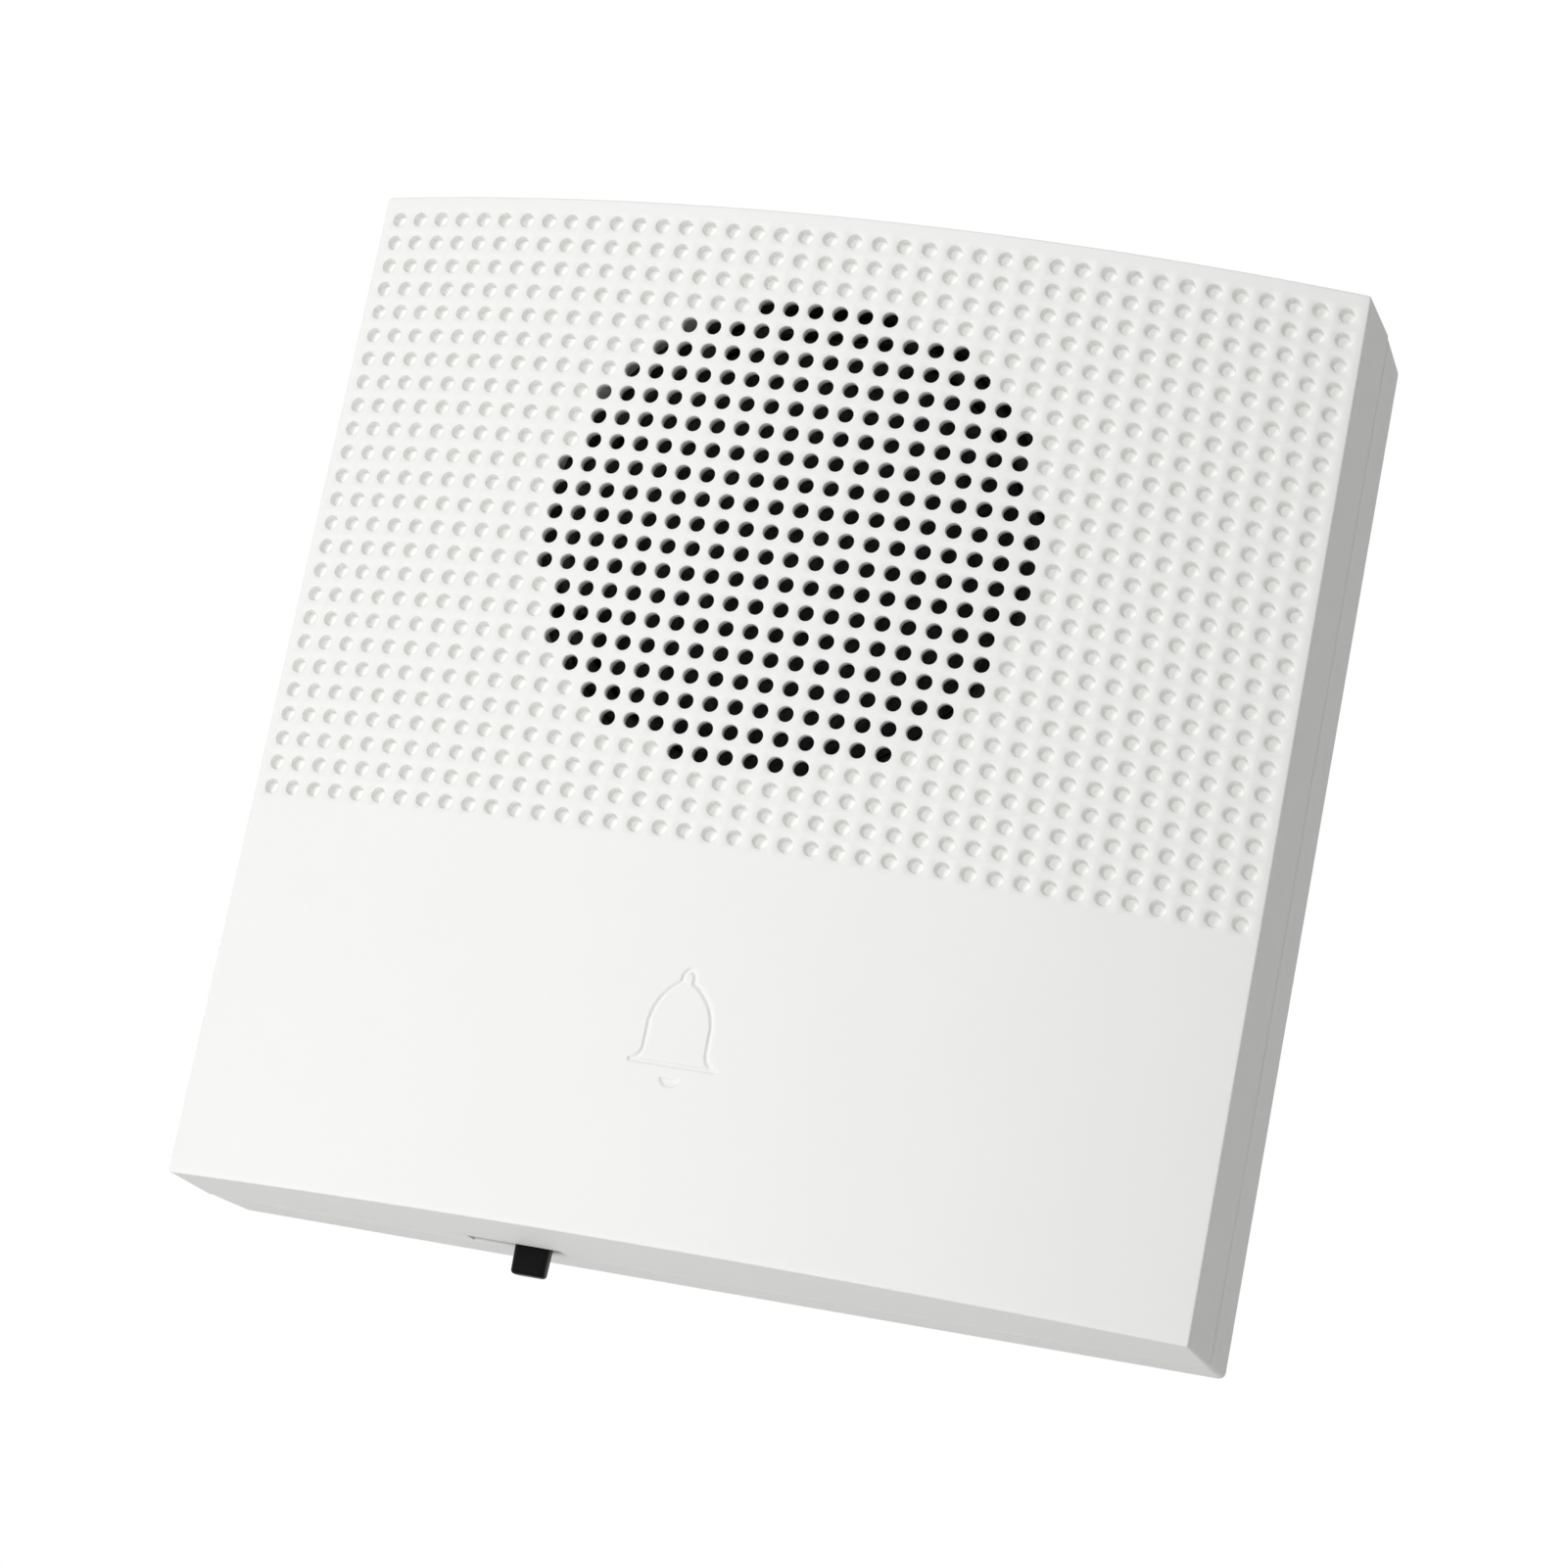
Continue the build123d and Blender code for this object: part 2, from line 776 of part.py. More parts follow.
def terminal_contacts():
    """The fixed bar above each wire and its pin down through the board."""
    contacts = []
    for number in range(poles):
        z = pole_z(number)
        pin_left = block_left + bar_pin_thickness / 2
        low_z, high_z = z - bar_width / 2, z + bar_width / 2
        bar = slab(pin_left, cage_right, low_z, high_z, bar_low, bar_front)
        pin = slab(
            pin_left, pin_left + bar_pin_thickness, low_z, high_z, board_back - lead_proud, bar_front
        )
        contacts.append(bar + pin)
    return contacts


def terminal_clamp(number):
    """A brass cage that rises along the screw and lifts the wire against the fixed bar."""
    z = pole_z(number)
    half = cage_well_width / 2 - cage_play
    left = cage_right - cage_reach
    cage = slab(left, cage_right, z - half, z + half, cage_low, cage_low + cage_height)
    cage -= slab(
        left - overrun, cage_right + overrun, z - half + cage_side, z + half - cage_side,
        cage_low + cage_floor, cage_low + cage_height - cage_top,
    )
    hole = disc(
        cage_right - cage_reach / 2, z, cage_low + cage_floor, cage_low + cage_height + overrun,
        clamp_screw_radius + clamp_thread_play,
    )
    return cage - hole


def terminal_screw(number):
    x, z = cage_right - cage_reach / 2, pole_z(number)
    top = collar_front + clamp_head_thickness
    screw = disc(x, z, bar_front + cage_play / 2, collar_front, clamp_screw_radius)
    screw += disc(x, z, collar_front, top, clamp_head_radius)
    reach = clamp_head_radius + overrun
    half = clamp_slot_width / 2
    return screw - slab(x - half, x + half, z - reach, z + reach, top - clamp_slot_depth, top + overrun)


# Small parts on the board
def can_capacitor(shares, radius, height):
    x, z = board_place(shares)
    can = disc(x, z, board_front, board_front + height, radius)
    can = fillet(can.faces().sort_by(Axis.Y)[0].edges(), capacitor_edge)
    groove_low = board_front + capacitor_groove_height
    can -= ring(
        x, z, groove_low, groove_low + 2 * capacitor_groove, radius - capacitor_groove, radius + overrun
    )
    return joined([can] + leads_down(capacitor_leads(shares, radius)))


def driver_transistor():
    x, z = board_place(transistor_place_shares)
    low = board_front + transistor_stand
    case = disc(x, z, low, low + transistor_height, transistor_radius)
    case -= slab(
        x - 2 * transistor_radius, x + 2 * transistor_radius,
        z - 2 * transistor_radius, z - transistor_flat, low, low + transistor_height,
    )
    return joined([case] + leads_down(transistor_leads(), high=low))


def chime_chip():
    """A drop of black resin over the sound chip."""
    x, z = board_place(chip_place_shares)
    ball_radius = (chip_radius**2 + chip_rise**2) / (2 * chip_rise)
    ball = Pos(x, ball_radius - board_front - chip_rise, z) * Sphere(ball_radius)
    return ball & disc(x, z, board_front, board_front + chip_rise, chip_radius)


def axial_part(places, body_radius, body_length, waist):
    """A round body that lies on the board, with a bent leg at each end."""
    (left, z), (right, _) = places
    x = (left + right) / 2
    depth = board_front + resistor_stand + body_radius
    body = lying_rod(x, z, depth, body_length, body_radius - waist)
    if waist > 0:
        end = body_length / 4
        for side in (-1, 1):
            body += lying_rod(x + side * (body_length - end) / 2, z, depth, end, body_radius)
    wire = lying_rod(x, z, depth, right - left + 2 * lead_radius, lead_radius)
    return joined([body, wire] + leads_down(places, high=depth))


def resistors():
    return [
        axial_part(resistor_leads(number), resistor_radius, resistor_length, resistor_waist)
        for number in range(resistor_count)
    ]


def disc_capacitors():
    pieces = []
    for number in range(disc_count):
        (left, z), (right, _) = disc_leads(number)
        depth = board_front + disc_stand + disc_radius
        coin = Pos((left + right) / 2, -depth, z) * Cylinder(disc_radius, disc_thickness)
        coin = fillet(coin.edges(), disc_thickness / 3)
        pieces.append(joined([coin] + leads_down(disc_leads(number), high=depth)))
    return pieces


def speaker_socket():
    left, right = socket_x - socket_width / 2, socket_x + socket_width / 2
    low, high = socket_z - socket_height / 2, socket_z + socket_height / 2
    socket = slab(left, right, low, high, board_front, board_front + socket_rise)
    socket -= slab(
        left + socket_wall, right - socket_wall, low + socket_wall, high - socket_wall,
        board_front + socket_floor, board_front + socket_rise,
    )
    for x, z in socket_pins():
        socket -= disc(x, z, board_front, board_front + socket_floor, socket_pin_radius)
    return socket


def speaker_socket_pins():
    top = board_front + socket_rise - socket_wall
    return leads_down(socket_pins(), high=top, radius=socket_pin_radius)


def speaker_plug():
    inset = socket_wall + plug_play
    rear = board_front + socket_floor + plug_play
    plug = slab(
        socket_x - socket_width / 2 + inset, socket_x + socket_width / 2 - inset,
        socket_z - socket_height / 2 + inset, socket_z + socket_height / 2 - inset,
        rear, board_front + socket_floor + plug_rise,
    )
    top = board_front + socket_rise - socket_wall + plug_play
    for x, z in socket_pins():
        plug -= disc(x, z, rear, top, socket_pin_radius + plug_play)
    return plug


# Speaker leads, routed by hand from the plug forwards and up to the lugs
lead_forward = 2.9
lead_climb = 2.4
bend_share = 0.45
lead_rest_depth = lug_front + lead_diameter / 2


def lead_route(side):
    start_x = socket_x + side * plug_pitch / 2
    end_x = side * lug_spacing / 2
    plug_front = board_front + socket_floor + plug_rise
    return [
        (start_x, -plug_front, socket_z),
        (start_x, -(plug_front + lead_forward), socket_z),
        (start_x, -lead_rest_depth, socket_z + lead_climb),
        (end_x, -lead_rest_depth, lug_low - lead_climb),
        (end_x, -lead_rest_depth, lug_top - lug_sheet),
    ]


def bend_radii(points):
    """The radius of each bend, which takes up the bend share of its shorter run."""
    radii = []
    for before, at, after in zip(points, points[1:], points[2:]):
        run_in = Vector(at) - Vector(before)
        run_out = Vector(after) - Vector(at)
        half_turn = math.radians(run_in.get_angle(run_out)) / 2
        radii.append(bend_share * min(run_in.length, run_out.length) / math.tan(half_turn))
    return radii


def speaker_lead(side):
    points = lead_route(side)
    radii = bend_radii(points)
    path = FilletPolyline(*points, radius=radii)
    start = Plane(points[0], z_dir=Vector(points[1]) - Vector(points[0]))
    lead = sweep(start * Circle(lead_diameter / 2), path)
    expected = math.pi * lead_diameter**2 / 4 * path.length
    print("lead", side, "radii", [round(r, 2) for r in radii], "length", round(path.length, 2),
          "volume", round(lead.volume, 3), "section times length", round(expected, 3))
    return lead


# Speaker
def speaker_frame():
    """The pressed steel basket with its rim, windows, spider shelf, floor and four screw ears."""
    line = [
        (speaker_radius - basket_sheet, rim_front),
        (rim_inner_radius, rim_front),
        (basket_waist_radius, shelf_depth),
        (shelf_inner_radius, shelf_depth),
        (shelf_inner_radius, floor_depth),
        (floor_hole_radius, floor_depth),
    ]
    basket = turned(pressed(line, basket_sheet, basket_sheet))
    window_low = shelf_depth + basket_window_margin
    window_high = rim_back - basket_window_margin
    for number in range(basket_windows):
        cutter = slab(
            basket_waist_radius - basket_sheet, speaker_radius + overrun,
            -basket_window_width / 2, basket_window_width / 2, window_low, window_high,
        )
        basket -= Pos(0, 0, speaker_z) * Rot(0, number * 360 / basket_windows, 0) * cutter
    rim_hollow = disc(0, speaker_z, rim_back, rim_front, speaker_radius - rim_width / 2)
    for x, z in ear_places:
        length = ear_circle_radius - rim_inner_radius
        angle = math.degrees(math.atan2(z - speaker_z, x))
        tongue = Pos(ear_circle_radius - length / 2, 0) * Rectangle(length, 2 * ear_radius)
        tongue += Pos(ear_circle_radius, 0) * Circle(ear_radius)
        ear = between(Pos(0, speaker_z) * Rot(0, 0, angle) * tongue, rim_back, rim_front) - rim_hollow
        basket += ear
        basket -= disc(x, z, rim_back, rim_front, ear_hole_radius)
    return basket


def speaker_yoke():
    yoke = disc(0, speaker_z, magnet_rear - yoke_thickness, magnet_rear, yoke_radius)
    return yoke + disc(0, speaker_z, magnet_rear, plate_front + pole_over_plate, pole_radius)


def voice_coil():
    """The paper tube on the cone and the wire wound on it, in the gap round the pole."""
    former = ring(0, speaker_z, former_rear, former_front, former_inner_radius, former_outer_radius)
    middle = (plate_front + plate_rear) / 2
    winding = ring(
        0, speaker_z, middle - winding_height / 2, middle + winding_height / 2,
        former_outer_radius, winding_outer_radius,
    )
    return former + winding


def cone_depth_at(radius):
    neck = former_outer_radius + cone_neck_gap
    share = (radius - neck) / (cone_edge_radius - neck)
    return cone_neck_depth + share * (cone_edge_depth - cone_neck_depth)


def speaker_cone():
    neck = former_outer_radius + cone_neck_gap
    return turned(pressed([(cone_edge_radius, cone_edge_depth), (neck, cone_neck_depth)], 0, cone_sheet))


def dome(radius, rise, low, sheet):
    """A thin cap of a sphere on the speaker's axis."""
    ball = (radius**2 + rise**2) / (2 * rise)
    centre = low + rise - ball
    caps = [Pos(0, -centre, speaker_z) * Sphere(size) for size in (ball, ball - sheet)]
    return (caps[0] - caps[1]) & disc(0, speaker_z, low, low + rise, radius)


def speaker_surround():
    """A flat flange on the rim and a half roll down to the edge of the cone."""
    inner = cone_edge_radius + soft_gap
    outer = rim_inner_radius + surround_sheet
    base = rim_front
    roll_middle = (inner + outer) / 2
    top_radius = (outer - inner) / 2
    outside = ThreePointArc((inner, base), (roll_middle, base + top_radius), (outer, base))
    low_radius = top_radius - surround_sheet
    inside = ThreePointArc(
        (outer - surround_sheet, base), (roll_middle, base + low_radius), (inner + surround_sheet, base)
    )
    roll = make_face([
        outside, Line((outer, base), (outer - surround_sheet, base)),
        inside, Line((inner + surround_sheet, base), (inner, base)),
    ])
    flange = filled([
        (outer - surround_sheet / 2, base), (speaker_radius, base),
        (speaker_radius, gasket_rear), (outer - surround_sheet / 2, gasket_rear),
    ])
    return turned(roll + flange)


def speaker_spider():
    """A rippled cloth ring from the shelf of the basket to the voice coil."""
    inner = former_outer_radius + soft_gap
    rippled = shelf_inner_radius - inner
    fold = rippled / (2 * spider_folds)
    front = [(basket_waist_radius - spider_sheet, shelf_depth + spider_sheet)]
    front.append((shelf_inner_radius, shelf_depth + spider_sheet))
    for number in range(1, 2 * spider_folds):
        up = spider_wave if number % 2 else 0
        front.append((shelf_inner_radius - number * fold, shelf_depth + spider_sheet + up))
    front.append((inner, shelf_depth + spider_sheet))
    return turned(pressed(front, 0, spider_sheet))


def speaker_gasket():
    return ring(0, speaker_z, gasket_rear, gasket_front, speaker_radius - gasket_width, speaker_radius)


def lug_strip():
    return slab(-strip_width / 2, strip_width / 2, strip_bottom, strip_top, rim_back - strip_thickness, rim_back)


def speaker_lugs():
    """Two soldering lugs on the strip, each with a tab that the end of a lead meets."""
    lugs = []
    for side in (-1, 1):
        x = side * lug_spacing / 2
        left, right = x - lug_width / 2, x + lug_width / 2
        lug = slab(left, right, lug_low, lug_top, rim_back, lug_front)
        lug += slab(left, right, lug_top - lug_sheet, lug_top, rim_back, lug_front + lug_tab_rise)
        lugs.append(lug)
    return lugs


def speaker_screws():
    return [
        cross_screw(
            x, z, rim_front, speaker_screw_length, speaker_screw_head_radius, speaker_screw_head
        )
        for x, z in ear_places
    ]


def write(name, piece):
    """One file a sub-part. Separate solids of one sub-part stay separate in it."""
    if isinstance(piece, list):
        piece = Compound(children=piece)
    export_step(piece, f"parts/{name}.step")


def main():
    os.makedirs("parts", exist_ok=True)
    write("front_cover", front_cover())
    write("back_cover", back_cover())
    write("circuit_board", circuit_board())
    write("board_screws", board_screws())
    write("switch_frame", switch_frame())
    write("switch_base", switch_base())
    write("switch_terminals", switch_terminals())
    write("switch_lever", switch_lever())
    write("switch_contact", switch_contact())
    write("terminal_body", terminal_body())
    write("terminal_contacts", terminal_contacts())
    for number in range(poles):
        write(f"terminal_clamp_{number + 1}", terminal_clamp(number))
        write(f"terminal_screw_{number + 1}", terminal_screw(number))
    write("supply_capacitor", can_capacitor(
        supply_capacitor_place_shares, supply_capacitor_radius, supply_capacitor_height))
    write("output_capacitor", can_capacitor(
        output_capacitor_place_shares, output_capacitor_radius, output_capacitor_height))
    write("driver_transistor", driver_transistor())
    write("chime_chip", chime_chip())
    write("resistors", resistors())
    write("rectifier_diode", axial_part(diode_leads(), diode_radius, diode_length, 0))
    write("disc_capacitors", disc_capacitors())
    write("speaker_socket", speaker_socket())
    write("speaker_socket_pins", speaker_socket_pins())
    write("speaker_plug", speaker_plug())
    write("speaker_lead_red", speaker_lead(-1))
    write("speaker_lead_black", speaker_lead(1))
    write("speaker_frame", speaker_frame())
    write("speaker_top_plate", ring(
        0, speaker_z, plate_rear, plate_front, gap_outer_radius, top_plate_radius))
    write("speaker_magnet", ring(
        0, speaker_z, magnet_rear, plate_rear, magnet_inner_radius, magnet_outer_radius))
    write("speaker_yoke", speaker_yoke())
    write("voice_coil", voice_coil())
    write("speaker_cone", speaker_cone())
    write("dust_cap", dome(cap_radius, cap_rise, cone_depth_at(cap_radius), cone_sheet))
    write("speaker_surround", speaker_surround())
    write("speaker_spider", speaker_spider())
    write("speaker_gasket", speaker_gasket())
    write("lug_strip", lug_strip())
    write("speaker_lugs", speaker_lugs())
    write("speaker_screws", speaker_screws())


main()
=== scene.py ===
import json
import math

import bmesh
import bpy
import numpy as np
from mathutils import Matrix, Vector


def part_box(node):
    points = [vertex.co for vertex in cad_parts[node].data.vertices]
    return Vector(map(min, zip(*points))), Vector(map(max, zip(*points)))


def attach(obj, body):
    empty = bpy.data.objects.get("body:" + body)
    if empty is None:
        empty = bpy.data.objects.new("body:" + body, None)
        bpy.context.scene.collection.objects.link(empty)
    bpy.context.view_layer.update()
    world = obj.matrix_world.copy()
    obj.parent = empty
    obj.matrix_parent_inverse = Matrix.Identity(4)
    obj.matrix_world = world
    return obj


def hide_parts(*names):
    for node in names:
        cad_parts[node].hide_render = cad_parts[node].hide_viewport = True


# A wired doorbell chime: white box with a dotted, curved front. Metres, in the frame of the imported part.
# The wall is on the +Y side, so a depth in front of the wall is -Y.
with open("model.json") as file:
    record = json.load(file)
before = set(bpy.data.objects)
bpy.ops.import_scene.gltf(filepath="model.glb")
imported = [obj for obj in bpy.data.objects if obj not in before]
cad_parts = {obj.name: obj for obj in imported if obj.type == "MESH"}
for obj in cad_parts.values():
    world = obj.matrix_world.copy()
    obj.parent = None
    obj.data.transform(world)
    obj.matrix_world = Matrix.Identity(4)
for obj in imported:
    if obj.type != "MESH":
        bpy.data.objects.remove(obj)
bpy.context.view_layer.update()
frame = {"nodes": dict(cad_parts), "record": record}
nodes = frame["nodes"]

# Units
mm = 0.001
micron = mm / 1000

# Box
box_low, box_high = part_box("front_cover")
back_low, back_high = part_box("back_cover")
body_width = back_high.x - back_low.x
body_height = back_high.z - back_low.z
body_depth = -box_low.y
cover_rear = -box_high.y
front_radius = 162.0 * mm
cover_lean = 0.35 * mm
side_wall = 2.0 * mm
front_wall = 1.5 * mm
corner_radius = 0.3 * mm
inner_corner_radius = 0.6 * mm
edge_radius = 0.22 * mm
seam_round = 0.25 * mm

# Dots
pitch = 2.3 * mm
columns = 40
rows = 25
grille_z = 16.9 * mm
open_dots = (20, 20, 20, 18, 18, 18, 16, 14, 12, 6)
side_steps = 4
dot_sides = 4 * side_steps
step = pitch / side_steps
# Radius and depth of each ring of a dot, in mm
dimple_rings = ((0.84, 0.0), (0.71, 0.08), (0.63, 0.40), (0.53, 0.78))
hole_rings = ((0.84, 0.0), (0.74, 0.08), (0.72, 0.6), (1.0, 1.2))
hole_back_radius = 1.0 * mm

# Bell sign
bell_x = -0.25 * mm
bell_z = -31.1 * mm
bell_height = 8.4 * mm
bell_half = 3.9 * mm
bell_line = 0.36 * mm
bell_depth = 0.2 * mm
bell_edge = 0.07 * mm
knob_shares = ((0.0, 1.0), (0.12, 0.945), (0.13, 0.865))
shoulder_shares = ((0.13, 0.865), (0.56, 0.66), (0.72, 0.33))
skirt_shares = ((0.73, 0.14), (0.82, 0.05), (1.0, 0.0))
clapper_width = 1.8 * mm
clapper_height = 0.75 * mm
clapper_drop = 1.2 * mm
bell_steps = 5
arc_steps = 12
least_run = 1e-18

# Notch for the lever
notch_left = -20.6 * mm
notch_right = -11.7 * mm
notch_rise = 2.5 * mm

# Rib behind the dots
gasket_low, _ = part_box("speaker_gasket")
rib_inner = 23.6 * mm
rib_outer = 25.0 * mm
rib_gap = 0.2 * mm
rib_root = 0.3 * mm
rib_sides = 96

# Camera, as fitted to the dots of the photograph
camera_place = (105.07 * mm, -367.51 * mm, -79.93 * mm)
camera_yaw = 16.434
camera_pitch = 11.851
camera_roll = 11.327
camera_lens = 96.37
camera_sensor = 36.0
nearest_seen = 5 * mm
farthest_seen = 20.0


# Mesh building
point_grid = micron / 100


class Skin:
    """Faces given by their corner points. Corners at one place become one vertex."""

    def __init__(self):
        self.index = {}
        self.points = []
        self.faces = []

    def corner(self, point):
        key = tuple(round(value / point_grid) for value in point)
        if key not in self.index:
            self.index[key] = len(self.points)
            self.points.append(tuple(point))
        return self.index[key]

    def face(self, *corners):
        ring = []
        for point in corners:
            number = self.corner(point)
            if not ring or ring[-1] != number:
                ring.append(number)
        if len(ring) > 1 and ring[0] == ring[-1]:
            ring.pop()
        if len(set(ring)) > 2:
            self.faces.append(ring)

    def band(self, first, second, closed=True):
        """Quads between two rows of points of one length."""
        count = len(first) if closed else len(first) - 1
        for k in range(count):
            n = (k + 1) % len(first)
            self.face(first[k], first[n], second[n], second[k])

    def chain(self, loops, ring=False):
        """A band from each loop to the next one, and from the last to the first in a ring."""
        following = loops[1:] + loops[:1] if ring else loops[1:]
        for first, second in zip(loops, following):
            self.band(first, second)

    def made(self, name, sharp=40.0):
        mesh = bpy.data.meshes.new(name)
        mesh.from_pydata(self.points, [], self.faces)
        work = bmesh.new()
        work.from_mesh(mesh)
        bmesh.ops.recalc_face_normals(work, faces=work.faces)
        open_edges = sum(1 for edge in work.edges if not edge.is_manifold)
        work.to_mesh(mesh)
        work.free()
        triangles = sum(len(face) - 2 for face in self.faces)
        print(name, "vertices", len(self.points), "triangles", triangles, "open edges", open_edges)
        mesh.shade_smooth()
        mesh.set_sharp_from_angle(angle=math.radians(sharp))
        piece = bpy.data.objects.new(name, mesh)
        bpy.context.scene.collection.objects.link(piece)
        weighted = piece.modifiers.new("weighted", "WEIGHTED_NORMAL")
        weighted.keep_sharp = True
        return piece


# Front cover
def front_depth(x):
    return body_depth - (front_radius - math.sqrt(front_radius**2 - x**2))


def inner_depth(x):
    inner = front_radius - front_wall
    return body_depth - (front_radius - math.sqrt(inner**2 - x**2))


side_depth = front_depth(body_width / 2 - cover_lean)
lean_rate = cover_lean / (side_depth - cover_rear)
inner_core_x = body_width / 2 - cover_lean - side_wall - inner_corner_radius
inner_core_z = body_height / 2 - cover_lean - side_wall - inner_corner_radius


def on_front(x, z, sunk=0.0):
    return (x, -(front_depth(x) - sunk), z)


def on_inside(x, z):
    x = min(max(x, -inner_core_x), inner_core_x)
    z = min(max(z, -inner_core_z), inner_core_z)
    return (x, -inner_depth(x), z)


def is_open(column, row):
    off = abs(row - (rows - 1) // 2)
    x = abs(column - (columns - 1) / 2)
    return off < len(open_dots) and x < open_dots[off] / 2


def square_side(centre, count, half):
    """The points of a square, from the middle of its right side round."""
    x, z = centre
    points = []
    for k in range(count):
        angle = 2 * math.pi * k / count
        reach = half / max(abs(math.cos(angle)), abs(math.sin(angle)))
        dx, dz = [round(way / step) * step for way in (reach * math.cos(angle), reach * math.sin(angle))]
        points.append((x + dx, z + dz))
    return points


def ring_points(centre, radius, count):
    x, z = centre
    angles = [2 * math.pi * k / count for k in range(count)]
    return [(x + radius * math.cos(a), z + radius * math.sin(a)) for a in angles]


def dot_places():
    for row in range(rows):
        for column in range(columns):
            x = (column - (columns - 1) / 2) * pitch
            z = grille_z + (row - (rows - 1) / 2) * pitch
            yield column, row, (x, z)


def dots(skin):
    """One square of the front a dot, each with its dimple or its hole through the wall."""
    for column, row, centre in dot_places():
        through = is_open(column, row)
        before = [on_front(x, z) for x, z in square_side(centre, dot_sides, pitch / 2)]
        for radius, sunk in hole_rings if through else dimple_rings:
            ring = ring_points(centre, radius * mm, dot_sides)
            points = [on_front(x, z, sunk * mm) for x, z in ring]
            skin.band(before, points)
            before = points
        if through:
            points = [on_inside(x, z) for x, z in ring_points(centre, hole_back_radius, dot_sides)]
            skin.band(before, points)
            skin.band(points, [on_inside(x, z) for x, z in square_side(centre, dot_sides, pitch / 2)])
        else:
            skin.face(*before)


def finely_edged(column, row):
    """Open dots have points along each side, and so has all that surrounds the dots."""
    outside = not (0 <= column < columns and 0 <= row < rows)
    return outside or is_open(column, row)


def inside_of_dots(skin):
    """The inside of the wall behind the blind dots, with the points of what lies at each side."""
    for column, row, (x, z) in dot_places():
        if is_open(column, row):
            continue
        left, right, low, high = x - pitch / 2, x + pitch / 2, z - pitch / 2, z + pitch / 2
        corners = [(left, low), (right, low), (right, high), (left, high)]
        beside = [(column, row - 1), (column + 1, row), (column, row + 1), (column - 1, row)]
        ring = []
        for k in range(4):
            (x0, z0), (x1, z1) = corners[k], corners[(k + 1) % 4]
            steps = side_steps if finely_edged(*beside[k]) else 1
            ring += [(x0 + (x1 - x0) * s / steps, z0 + (z1 - z0) * s / steps) for s in range(steps)]
        skin.face(*[on_inside(px, pz) for px, pz in ring])


# Bell
def arc_points(shares, side):
    """Points along the arc through three places of the bell's outline."""
    a, b, c = [Vector((bell_x + side * u * bell_half, bell_z + v * bell_height)) for u, v in shares]
    turn = 2 * (a.x * (b.y - c.y) + b.x * (c.y - a.y) + c.x * (a.y - b.y))
    sa, sb, sc = a.length_squared, b.length_squared, c.length_squared
    centre = Vector((
        (sa * (b.y - c.y) + sb * (c.y - a.y) + sc * (a.y - b.y)) / turn,
        (sa * (c.x - b.x) + sb * (a.x - c.x) + sc * (b.x - a.x)) / turn,
    ))
    radius = (a - centre).length
    start = math.atan2(a.y - centre.y, a.x - centre.x)
    middle = math.atan2(b.y - centre.y, b.x - centre.x)
    end = math.atan2(c.y - centre.y, c.x - centre.x)
    full = 2 * math.pi
    sweep = (end - start) % full
    if (middle - start) % full > sweep:
        sweep -= full
    angles = [start + sweep * k / arc_steps for k in range(arc_steps + 1)]
    return [(centre.x + radius * math.cos(t), centre.y + radius * math.sin(t)) for t in angles]


def bell_half_outline(side):
    halves = [arc_points(shares, side) for shares in (knob_shares, shoulder_shares, skirt_shares)]
    return sum(halves, [])


def bell_outline():
    return np.array(bell_half_outline(-1) + bell_half_outline(1)[::-1])


outline = bell_outline()


def outline_distance(x, z):
    """How far a place on the front is from the bell's outline."""
    start, end = outline, np.roll(outline, -1, axis=0)
    run = end - start
    size = np.maximum((run**2).sum(axis=1), least_run)
    share = np.clip((((x, z) - start) * run).sum(axis=1) / size, 0, 1)
    near = start + run * share[:, None]
    return float(np.sqrt(((near - (x, z)) ** 2).sum(axis=1)).min())


def clapper_distance(x, z):
    """Below zero inside the half moon under the bell."""
    half, height = clapper_width / 2, clapper_height
    top = bell_z - clapper_drop
    radius = (half**2 + height**2) / (2 * height)
    to_arc = math.hypot(x - bell_x, z - (top - height + radius)) - radius
    return max(to_arc, z - top)


def smooth(share):
    share = min(max(share, 0.0), 1.0)
    return share * share * (3 - 2 * share)


def bell_sunk(x, z):
    line = smooth(0.5 + (bell_line / 2 - outline_distance(x, z)) / (2 * bell_edge))
    moon = smooth(0.5 - clapper_distance(x, z) / (2 * bell_edge))
    return bell_depth * max(line, moon)


def bell_is_near(x, z):
    reach = step + bell_line / 2 + bell_edge
    return outline_distance(x, z) < reach or clapper_distance(x, z) < reach


# Plain front below the dots: columns one step wide, finer where the bell is
front_columns = columns * side_steps
dots_low = grille_z - rows * pitch / 2
dots_high = grille_z + rows * pitch / 2
dots_side = columns * pitch / 2
core_margin = 1.0 * mm
core_low = -body_height / 2 + core_margin
bell_rows = 25
bell_margin = 1.8 * mm
bell_top_z = bell_z + bell_height + bell_margin
bell_columns = (-11, 10)


def column_x(number):
    return -dots_side + number * step


